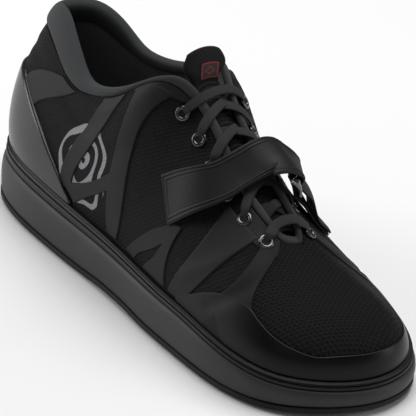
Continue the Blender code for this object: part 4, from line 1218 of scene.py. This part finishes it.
def tongue_skin(run, side, depth):
    """Tongue's face: along the throat at a depth under the instep, then up and back out of its top."""
    rows = np.array(TONGUE_ROWS)
    along = np.interp(run, tongue_run, rows[:, 0])
    width = drawn_line(np.stack([tongue_run, rows[:, 1]], axis=-1), run)
    rise = np.interp(run, tongue_run, rows[:, 2]) * TONGUE_RISE
    lean = math.radians(TONGUE_LEAN)
    front = eyelet_x(-0.5)
    x = front + (eyelet_x(EYELET_PAIRS - 0.6) - front) * along
    upward = np.array([-math.sin(lean), 0.0, math.cos(lean)])
    return instep_point(x, side * TONGUE_WIDTH * width / 2.0, -depth) + upward * rise[..., None]


def tongue_form(run, side, face):
    """Face 1 is the outer side, -1 the inner: half the thickness, full in the middle and rounded to the
    edges, with ribs across the outer side that bow towards the toe."""
    edge = (
        np.sqrt(np.clip(1.0 - np.abs(side) ** 6, 0.0, 1.0))
        * np.sqrt(np.clip(1.0 - ((run - 0.575) / 0.575) ** 24, 0.0, 1.0))
    )
    rib = (
        RIB_DEPTH
        * np.sin(2.0 * math.pi * (run * TONGUE_RUN / RIB_PITCH + 0.9 * side ** 2))
        * (1.0 - ease(run, 0.98, 1.02))
    )
    depth = TONGUE_DEPTH + TONGUE_THICK / 2.0 - face * edge * TONGUE_THICK / 2.0 - rib * edge * (face > 0)
    return tongue_skin(run, side, depth)


tongue_knit = knit_cloth(
    "tongue_knit", (0.0100, 0.0102, 0.0108), (0.0030, 0.0030, 0.0033), 0.0010, 0.0002, 0.03
)
tongue_rows = np.linspace(0.0, 1.15, 420)[:, None]
tongue_sides = np.sin(np.linspace(-0.5, 0.5, 61) * math.pi)
tongue_loop = np.concatenate([tongue_sides, tongue_sides[-2:0:-1]])[None, :]
tongue_faces = np.concatenate([np.ones(61), -np.ones(59)])[None, :]
tongue_grid = tongue_form(
    tongue_rows + 0.0 * tongue_loop, tongue_loop + 0.0 * tongue_rows, tongue_faces + 0.0 * tongue_rows
)
tongue = grid_piece("ribbed_tongue", tongue_grid, "lining", tongue_knit)
lay_pattern(tongue, paired(np.arange(121)[None, :] * 0.00066, tongue_rows * TONGUE_RUN))
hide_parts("tongue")


# Tongue label: small woven patch sewn flat on the front of the tongue's top, with a thin red border
# and a plain red diamond.
LABEL_SIDE = 0.0135
LABEL_MIDDLE = 0.0070
LABEL_BORDER = 0.0059
LABEL_DIAMOND = 0.0032
LABEL_RED = (0.30, 0.012, 0.016)
label_cloth, tree, shader = surface("label_cloth")
place = cloth_place(tree)
parts = node(tree, "ShaderNodeSeparateXYZ", Vector=place)
fine = grain(tree, 2600.0)[0]
thread = weave(tree, place, 0.0006)
side_line = math_node(tree, "ABSOLUTE", parts.outputs[0])
rise_line = math_node(tree, "ABSOLUTE", math_node(tree, "SUBTRACT", parts.outputs[1], LABEL_MIDDLE))
square = math_node(tree, "SUBTRACT", math_node(tree, "MAXIMUM", side_line, rise_line), LABEL_BORDER)
slanted = math_node(tree, "SUBTRACT", math_node(tree, "ADD", side_line, rise_line), LABEL_DIAMOND)
edge_line = math_node(tree, "ABSOLUTE", square)
diamond = math_node(tree, "ABSOLUTE", slanted)
border = span(tree, math_node(tree, "MINIMUM", edge_line, diamond), 0.0003, 0.0005, 1.0, 0.0)
ground = blend_colors(tree, thread, (0.012, 0.012, 0.012), (0.024, 0.024, 0.025))
feed(shader, Base_Color=blend_colors(tree, border, ground, LABEL_RED), Roughness=0.8)
bump(shader, math_node(tree, "MULTIPLY_ADD", fine, 0.4, thread), 0.00015)
label_rows = rim_steps(24, 0.06)[:, None]
label_sides = rim_steps(24, 0.05)[None, :]
label_run = 1.010 + 0.075 * label_rows
label_half = (
    drawn_line(np.stack([tongue_run, np.array(TONGUE_ROWS)[:, 1]], axis=-1), label_run) * TONGUE_WIDTH / 2.0
)
label_side = 0.22 + (label_sides - 0.5) * LABEL_SIDE / label_half
label_lift = 0.0007 * rim_rise(label_rows, 0.06) * rim_rise(label_sides, 0.05) - 0.0001
label_grid = tongue_skin(
    label_run + 0.0 * label_side, label_side + 0.0 * label_run, TONGUE_DEPTH - label_lift
)
label = grid_piece("tongue_label", label_grid, "lining", label_cloth, close_cols=False)
lay_pattern(label, paired((label_sides - 0.5) * 2.0 * LABEL_MIDDLE, label_rows * 2.0 * LABEL_MIDDLE))


# Eyelets: six pairs of small bright metal rings rolled into the stays, each round a hole that the lace
# goes through; a flat near-black disc of painted shade fills each hole.
EYELET_RING = 0.0030
EYELET_WIRE = 0.00105
OVERLAY_GAP = 0.0006


def eyelet_places():
    """x and distance across of each pair, from the front back."""
    places = []
    for pair in range(EYELET_PAIRS):
        x = eyelet_x(pair)
        places.append((x, float(throat_half(x)) + EYELET_INSET))
    return places


def eyelet_frames():
    """Middle, two flat directions and normal of every eyelet on the upper, outer and inner of each pair."""
    frames = []
    for x, across in eyelet_places():
        for sign in (-1.0, 1.0):
            middle = instep_point(x, sign * across, OVERLAY_GAP)
            normal = instep_point(x, sign * across, 1.0) - instep_point(x, sign * across, 0.0)
            normal /= np.linalg.norm(normal)
            first = np.cross(normal, (0.0, 0.0, 1.0))
            first /= np.linalg.norm(first)
            frames.append((middle, first, np.cross(normal, first), normal))
    return frames


def ring_points(frame_of, turn, radius, height):
    """Round section swept round a circle: middle plus radius in the flat and height along the normal."""
    middle, first, second, normal = frame_of
    flat = first * np.cos(turn)[..., None] + second * np.sin(turn)[..., None]
    return middle + flat * radius[..., None] + normal * height[..., None]


bright_metal, tree, shader = surface("bright_metal")
fine, broad = grain(tree, 1500.0)
feed(
    shader,
    Base_Color=blend_colors(tree, broad, (0.090, 0.090, 0.092), (0.120, 0.120, 0.123)),
    Roughness=math_node(tree, "MULTIPLY_ADD", fine, 0.12, 0.16),
    Metallic=1.0,
)
bump(shader, fine, 0.00003)
# Painted shade: a flat near-black disc inside each ring stands in for the shade in the eyelet's hole.
hole_painted_shade, tree, shader = surface("hole_painted_shade")
fine = grain(tree, 1500.0)[0]
feed(
    shader,
    Base_Color=blend_colors(tree, fine, (0.001, 0.001, 0.001), (0.004, 0.004, 0.004)),
    Roughness=0.95,
)
turn = np.linspace(0.0, 2.0 * math.pi, 48, endpoint=False)[:, None]
round_turn = np.linspace(0.0, 2.0 * math.pi, 16, endpoint=False)[None, :]
ring_radius = EYELET_RING + EYELET_WIRE * np.cos(round_turn) + 0.0 * turn
ring_height = 0.0001 + EYELET_WIRE * 0.75 * np.sin(round_turn) + 0.0 * turn
disc_radius = np.linspace(0.0, EYELET_RING, 4)[::-1][None, :] + 0.0 * turn
ring_quads = grid_quads(48, 16, True, True)
disc_quads = grid_quads(48, 4, True, False)
eyelet_points = []
eyelet_quads = []
first_point = 0
for frame_of in eyelet_frames():
    ring = ring_points(frame_of, turn + 0.0 * round_turn, ring_radius, ring_height).reshape(-1, 3)
    disc = ring_points(frame_of, turn + 0.0 * disc_radius, disc_radius, 0.0 * disc_radius).reshape(-1, 3)
    eyelet_points += [ring, disc]
    ring_faces = outward(ring - ring.mean(axis=0), ring_quads)
    eyelet_quads += [ring_faces + first_point, disc_quads + first_point + len(ring)]
    first_point += len(ring) + len(disc)
eyelets = mesh_piece(
    "eyelets", np.concatenate(eyelet_points), np.concatenate(eyelet_quads), "metal", bright_metal, hole_painted_shade
)
in_hole = np.tile(np.repeat([0, 1], [len(ring_quads), len(disc_quads)]), 2 * EYELET_PAIRS).astype(np.int32)
eyelets.data.polygons.foreach_set("material_index", in_hole)
for pair in range(EYELET_PAIRS):
    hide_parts(f"eyelet_outer_{pair + 1}", f"eyelet_inner_{pair + 1}")


# Lace: one flat woven grey lace. A bar lies over the front pair and another over the top pair; between
# them it comes up out of each eyelet, crosses over the throat and dives under the other facing. Its
# hidden ends stop at the top eyelets.
LACE_WIDTH = 0.0052
LACE_THICK = 0.0011
BINDING_TOP = 0.0020
LACE_UNDER = 0.0034


def across_direction(x, across, heading):
    """Direction square to a heading over the instep, as steps in x and across per metre: the step (a, b)
    with a (by_x . path) + b (by_d . path) = 0."""
    small = 5e-4
    by_x = (instep_point(x + small, across, 0.0) - instep_point(x - small, across, 0.0)) / (2 * small)
    by_d = (instep_point(x, across + small, 0.0) - instep_point(x, across - small, 0.0)) / (2 * small)
    path = by_x * np.reshape(heading[0], (-1, 1)) + by_d * np.reshape(heading[1], (-1, 1))
    a = (by_d * path).sum(axis=-1)
    b = -(by_x * path).sum(axis=-1)
    step = by_x * a[:, None] + by_d * b[:, None]
    size = np.linalg.norm(step, axis=-1)
    return a / size, b / size


def band_grid(path, heading, width, thick, section, slant=0.0):
    """Band carried along a path of x, across and lift: each section point stands to the side by its
    share of the width and off the middle by its share of the thickness, square to the run but for
    its slant."""
    x, across, lift = path
    dx, dd = across_direction(x, across, heading)
    run = np.stack([np.gradient(across), np.gradient(lift)], axis=-1)
    run /= np.maximum(np.linalg.norm(run, axis=-1, keepdims=True), 1e-12)
    side = section[0] * np.reshape(width, (-1, 1))
    off = section[1] * np.reshape(thick, (-1, 1))
    place_x = x[:, None] + side * dx[:, None]
    turned = np.sign(np.reshape(heading[1], (-1, 1)))
    place_d = (across[:, None] - run[:, 1:] * off * turned) + side * np.reshape(dd - slant, (-1, 1))
    place_lift = lift[:, None] + run[:, :1] * off * turned
    return instep_point(place_x, place_d, place_lift)


def oval_section(count, power):
    """Flat oval: cosine and sine to a power, as shares of half the width and half the thickness."""
    angle = np.linspace(0.0, 2.0 * math.pi, count, endpoint=False)
    return powered(np.cos(angle), power) / 2.0, powered(np.sin(angle), power) / 2.0


def smoothed(values, reach):
    """Running mean with a bell of that reach, its ends held."""
    bell = np.exp(-np.linspace(-2.0, 2.0, 2 * reach + 1) ** 2)
    padded = np.concatenate([np.full(reach, values[0]), values, np.full(reach, values[-1])])
    return np.convolve(padded, bell / bell.sum(), mode="valid")


LACE_STEPS = 90
LACE_SECTION = oval_section(20, 0.55)


def lace_run(start, end, start_in, end_in, middle):
    """One run between two eyelets. Its lift goes through marked heights: in the hole, over the ring and
    the binding, down to the middle of the throat, and out the same way or under the other facing."""
    (x0, d0), (x1, d1) = start, end
    length = math.hypot(x1 - x0, d1 - d0)
    share = np.linspace(0.0, 1.0, LACE_STEPS)
    far = share * length
    slant = abs(d1 - d0) / length
    mouth0 = (abs(d0) - float(throat_half(x0))) / slant
    mouth1 = length - (abs(d1) - float(throat_half(x1))) / slant
    if start_in == "hole":
        marks = [(0.0, -0.0009), (0.0016, 0.0006), (0.0042, 0.0024), (mouth0 + 0.002, BINDING_TOP)]
    else:
        marks = [(0.0, -LACE_UNDER), (mouth0, -LACE_UNDER), (mouth0 + 0.0045, -LACE_UNDER)]
    marks.append((length / 2.0, middle))
    if end_in == "hole":
        marks += [
            (mouth1 - 0.002, BINDING_TOP),
            (length - 0.0042, 0.0024),
            (length - 0.0016, 0.0006),
            (length, -0.0009),
        ]
    else:
        marks += [(mouth1 - 0.0045, -LACE_UNDER), (mouth1, -LACE_UNDER), (length, -LACE_UNDER)]
    marks = np.array(marks)
    lift = smoothed(np.interp(far, marks[:, 0], marks[:, 1]), 5)
    near_hole = np.ones(LACE_STEPS)
    if start_in == "hole":
        near_hole *= ease(far, -0.002, 0.006)
    if end_in == "hole":
        near_hole *= ease(length - far, -0.002, 0.006)
    width = LACE_WIDTH * (0.55 + 0.45 * near_hole)
    thick = LACE_THICK * (1.25 - 0.25 * near_hole)
    x = x0 + (x1 - x0) * share
    across = d0 + (d1 - d0) * share
    if start_in == "hole" and end_in == "hole":
        x = x + 0.0016 * np.sin(math.pi * share)
    return band_grid((x, across, lift), (x1 - x0, d1 - d0), width, thick, LACE_SECTION), length


lace_weave, tree, shader = surface("lace_weave")
place = cloth_place(tree)
parts = node(tree, "ShaderNodeSeparateXYZ", Vector=place)
thread = weave(tree, place, 0.0007)
fine = grain(tree, 2600.0)[0]
edge_share = span(tree, math_node(tree, "ABSOLUTE", parts.outputs[1]), 0.0017, 0.0026, 0.0, 1.0)
cord_color = blend_colors(tree, thread, (0.017, 0.017, 0.0175), (0.028, 0.0285, 0.0295))
feed(
    shader,
    Base_Color=blend_colors(tree, edge_share, cord_color, (0.013, 0.013, 0.014)),
    Roughness=0.8,
    Specular_IOR_Level=0.30,
)
bump(shader, math_node(tree, "MULTIPLY_ADD", fine, 0.4, thread), 0.00012)
section_across = LACE_SECTION[0] * LACE_WIDTH


def lace_piece(name, start, end, start_in, end_in, middle, *stands_for):
    """Lace run as a piece, with its pattern along and across it."""
    grid, length = lace_run(start, end, start_in, end_in, middle)
    lace = grid_piece(name, grid, "lace", lace_weave)
    along = np.linspace(0.0, length, LACE_STEPS)[:, None]
    across = np.append(section_across, section_across[0])[None, :]
    lay_pattern(lace, paired(along, across))
    if stands_for:
        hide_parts(*stands_for)


pairs = eyelet_places()
for pair in range(EYELET_PAIRS - 1):
    (x0, d0), (x1, d1) = pairs[pair], pairs[pair + 1]
    leave = "under" if pair == 0 else "hole"
    lace_piece(
        f"lace_under_{pair + 1}", (x0, d0), (x1, -d1), leave, "under", -0.0012, f"lace_crossing_{pair + 1}"
    )
    lace_piece(f"lace_over_{pair + 1}", (x0, -d0), (x1, d1), leave, "under", 0.0004)
(x0, d0), (x1, d1) = pairs[0], pairs[-1]
lace_piece("lace_front_bar", (x0, -d0), (x0, d0), "hole", "hole", 0.0020)
lace_piece("lace_top_bar", (x1, -d1), (x1, d1), "hole", "hole", 0.0020)


# Instep strap: webbing-backed film closed on the outer side, over the lace and round a metal ring on
# the inner side. Two raised lines run along its edges and its end, and fine ribs along its outer half.
STRAP_WIDTH = 0.0220
STRAP_THICK = 0.0014
STRAP_CLEAR = 0.0046
STRAP_SLACK = 0.0004
STRAP_OUTER_REACH = 0.0550
STRAP_INNER_REACH = 0.0200
STRAP_FLARE = 0.10
STRAP_SLANT = 0.15
STRAP_AT_THROAT = 0.650
STRAP_SWING = 0.0325
STRAP_SWING_FROM = 0.0820
RING_WIRE = 0.0030
RING_SIDE = 0.0015
RING_DEPTH = 0.0085
RING_RISE = 0.0105
RING_TILT = 30.0
RING_SLIM = 0.92
RING_POWER = 0.25


def strap_x(across):
    """x of the strap's middle line: the throat's place less a swing that eases in over the outer side."""
    swing = STRAP_SWING * (1.0 - ease(across, -STRAP_SWING_FROM, 0.0))
    return (STRAP_AT_THROAT - 0.5) * SOLE_LENGTH - swing


def strap_path(steps):
    """x, across and lift of the middle line: flat from its end, easing up over the lace to the ring's
    upper bar, then half a turn round it."""
    low = OVERLAY_GAP + STRAP_THICK / 2.0
    flat = STRAP_CLEAR + STRAP_THICK / 2.0
    bar = (RING_WIRE + STRAP_THICK) / 2.0 + STRAP_SLACK
    over = np.linspace(-STRAP_OUTER_REACH, STRAP_INNER_REACH, steps)
    off = ease(over, -STRAP_OUTER_REACH, -float(throat_half(0.0)) - EYELET_INSET)
    near = ease(over, -0.6 * STRAP_INNER_REACH, 0.9 * STRAP_INNER_REACH)
    height = low + (flat - low) * off + (RING_RISE + bar - flat) * near
    turn = np.linspace(0.0, math.pi, 24)[1:]
    across = np.concatenate([over, STRAP_INNER_REACH + bar * np.sin(turn)])
    lift = np.concatenate([height, RING_RISE + bar * np.cos(turn)])
    return strap_x(across), across, lift


def strap_section(count):
    """Loop of the strap's section: its flat underside, then its upper side, both from edge to edge."""
    side = np.sin(np.linspace(-0.5, 0.5, count) * math.pi) / 2.0
    face = np.concatenate([np.full(count, 1.0), np.full(count - 2, -1.0)])
    return np.concatenate([side, side[-2:0:-1]]), face


strap_side, strap_face = strap_section(71)
strap_x_line, strap_across, strap_lift = strap_path(150)
run_length = rise_along(paired(strap_across, strap_lift))[:, None]
edge_far = (0.5 - np.abs(strap_side))[None, :] * STRAP_WIDTH
end_far = np.minimum(edge_far, run_length + 0.0 * edge_far)
rounded = np.sqrt(1.0 - (1.0 - np.clip(end_far / 0.0006, 0.0, 1.0)) ** 2)
lines = np.exp(-((end_far - 0.0011) / 0.00035) ** 2) + np.exp(-((end_far - 0.0028) / 0.00035) ** 2)
ribs = 0.5 + 0.5 * np.cos(strap_side[None, :] * STRAP_WIDTH * 2.0 * math.pi / 0.0013)
ribbed = ease(end_far, 0.0036, 0.0046) * (1.0 - ease(run_length, 0.034, 0.046))
proud = 0.5 * rounded + (0.26 * lines + 0.05 * ribs * ribbed) * (strap_face[None, :] > 0)
to_end = 1.0 - ease(strap_across, -STRAP_OUTER_REACH, -0.2 * STRAP_OUTER_REACH)
strap_heading = (
    strap_x(strap_across + 1e-4) - strap_x(strap_across - 1e-4), np.full(len(strap_across), 2e-4)
)
strap_grid = band_grid(
    (strap_x_line, strap_across, strap_lift), strap_heading,
    STRAP_WIDTH * (1.0 + STRAP_FLARE * to_end), STRAP_THICK,
    (strap_side[None, :] + 0.0 * run_length, strap_face[None, :] * proud), STRAP_SLANT * to_end,
)
strap_film, tree, shader = surface("strap_film")
place = cloth_place(tree)
fine, broad = grain(tree, 1500.0)
thread = weave(tree, place, 0.0008)
feed(
    shader,
    Base_Color=blend_colors(tree, broad, (0.0042, 0.0042, 0.0044), (0.0062, 0.0062, 0.0065)),
    Roughness=math_node(tree, "MULTIPLY_ADD", fine, 0.14, 0.50),
    Specular_IOR_Level=0.26,
)
bump(shader, math_node(tree, "MULTIPLY_ADD", thread, 0.3, fine), 0.00008)
strap = grid_piece("instep_strap", strap_grid, "strap", strap_film)
loop_place = np.append(strap_side, strap_side[0])[None, :] * STRAP_WIDTH
lay_pattern(strap, paired(run_length, loop_place))
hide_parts("strap")


# Ring: bent bright steel wire, a long loop with square corners, held by the tab and gripped by the
# strap that turns round its upper bar.
def ring_place(depth, raised):
    """Distance across and lift of a place in the ring's tilted plane."""
    tilt = math.radians(RING_TILT)
    across = STRAP_INNER_REACH + depth * math.cos(tilt) + raised * math.sin(tilt)
    return across, RING_RISE - depth * math.sin(tilt) + raised * math.cos(tilt)


ring_turn = np.linspace(0.0, 2.0 * math.pi, 120, endpoint=False)[None, :]
wire_turn = np.linspace(0.0, 2.0 * math.pi, 18, endpoint=False)[:, None]
ring_along = powered(np.cos(ring_turn), RING_POWER)
ring_down = powered(np.sin(ring_turn), RING_POWER)
ring_swell = np.cos(wire_turn) * RING_WIRE / 2.0 * RING_SLIM
ring_depth = RING_DEPTH / 2.0 + ring_down * (RING_DEPTH / 2.0 + ring_swell)
ring_raised = np.sin(wire_turn) * RING_WIRE / 2.0 * RING_SLIM + 0.0 * ring_turn
ring_across, ring_lift = ring_place(ring_depth, ring_raised)
ring_side = ring_along * ((STRAP_WIDTH + RING_WIRE) / 2.0 + RING_SIDE + ring_swell)
ring_x = np.full(1, strap_x(0.0))
ring_dx, ring_dd = across_direction(ring_x, np.full(1, STRAP_INNER_REACH), (0.0, 1.0))
ring_grid = instep_point(ring_x + ring_side * ring_dx, ring_across + ring_side * ring_dd, ring_lift)
ring = grid_piece("strap_ring_wire", ring_grid, "metal", bright_metal, close_rows=True)
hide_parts("strap_ring")


# Ring tab: one length of black webbing folded round the ring's lower bar, both layers bonded down to
# the inner side of the upper.
TAB_THICK = 0.0012
TAB_END = 0.0560
tab_web = knit_cloth("tab_web", (0.014, 0.014, 0.0145), (0.005, 0.005, 0.0055), 0.0012, 0.0003, 0.03)
tab_bar = (RING_WIRE + TAB_THICK) / 2.0 + GAP * 1.5
tab_low = OVERLAY_GAP + TAB_THICK / 2.0
tab_centre, tab_height = ring_place(RING_DEPTH, 0.0)
tab_down = np.linspace(tab_centre, TAB_END, 60)[1:]
tab_layer = TAB_THICK + GAP
tab_fall = 1.0 - ease(tab_down, tab_centre + 0.006, tab_centre + 0.022)
tab_under = tab_low + (tab_height - tab_bar - tab_low) * tab_fall
tab_over = tab_low + tab_layer + (tab_height + tab_bar - tab_low - tab_layer) * tab_fall
tab_turn = np.linspace(0.0, math.pi, 24)
tab_across = np.concatenate([tab_down[::-1], tab_centre - tab_bar * np.sin(tab_turn), tab_down])
tab_lift = np.concatenate([tab_under[::-1], tab_height - tab_bar * np.cos(tab_turn), tab_over])
tab_side, tab_face = strap_section(41)
tab_edge = (0.5 - np.abs(tab_side))[None, :] * STRAP_WIDTH + 0.0 * tab_across[:, None]
tab_proud = (
    0.46 * np.sqrt(1.0 - (1.0 - np.clip(tab_edge / 0.0005, 0.0, 1.0)) ** 2)
    - 0.10 * np.exp(-((tab_edge - 0.002) / 0.0004) ** 2)
)
tab_grid = band_grid(
    (np.full(len(tab_across), strap_x(0.0)), tab_across, tab_lift), (0.0, 1.0), STRAP_WIDTH, TAB_THICK,
    (tab_side[None, :] + 0.0 * tab_edge, tab_face[None, :] * tab_proud),
)
tab = grid_piece("ring_tab", tab_grid, "strap", tab_web)
tab_place = np.append(tab_side, tab_side[0])[None, :] * STRAP_WIDTH
lay_pattern(tab, paired(rise_along(paired(tab_across, tab_lift))[:, None], tab_place))
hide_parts("strap_tab")
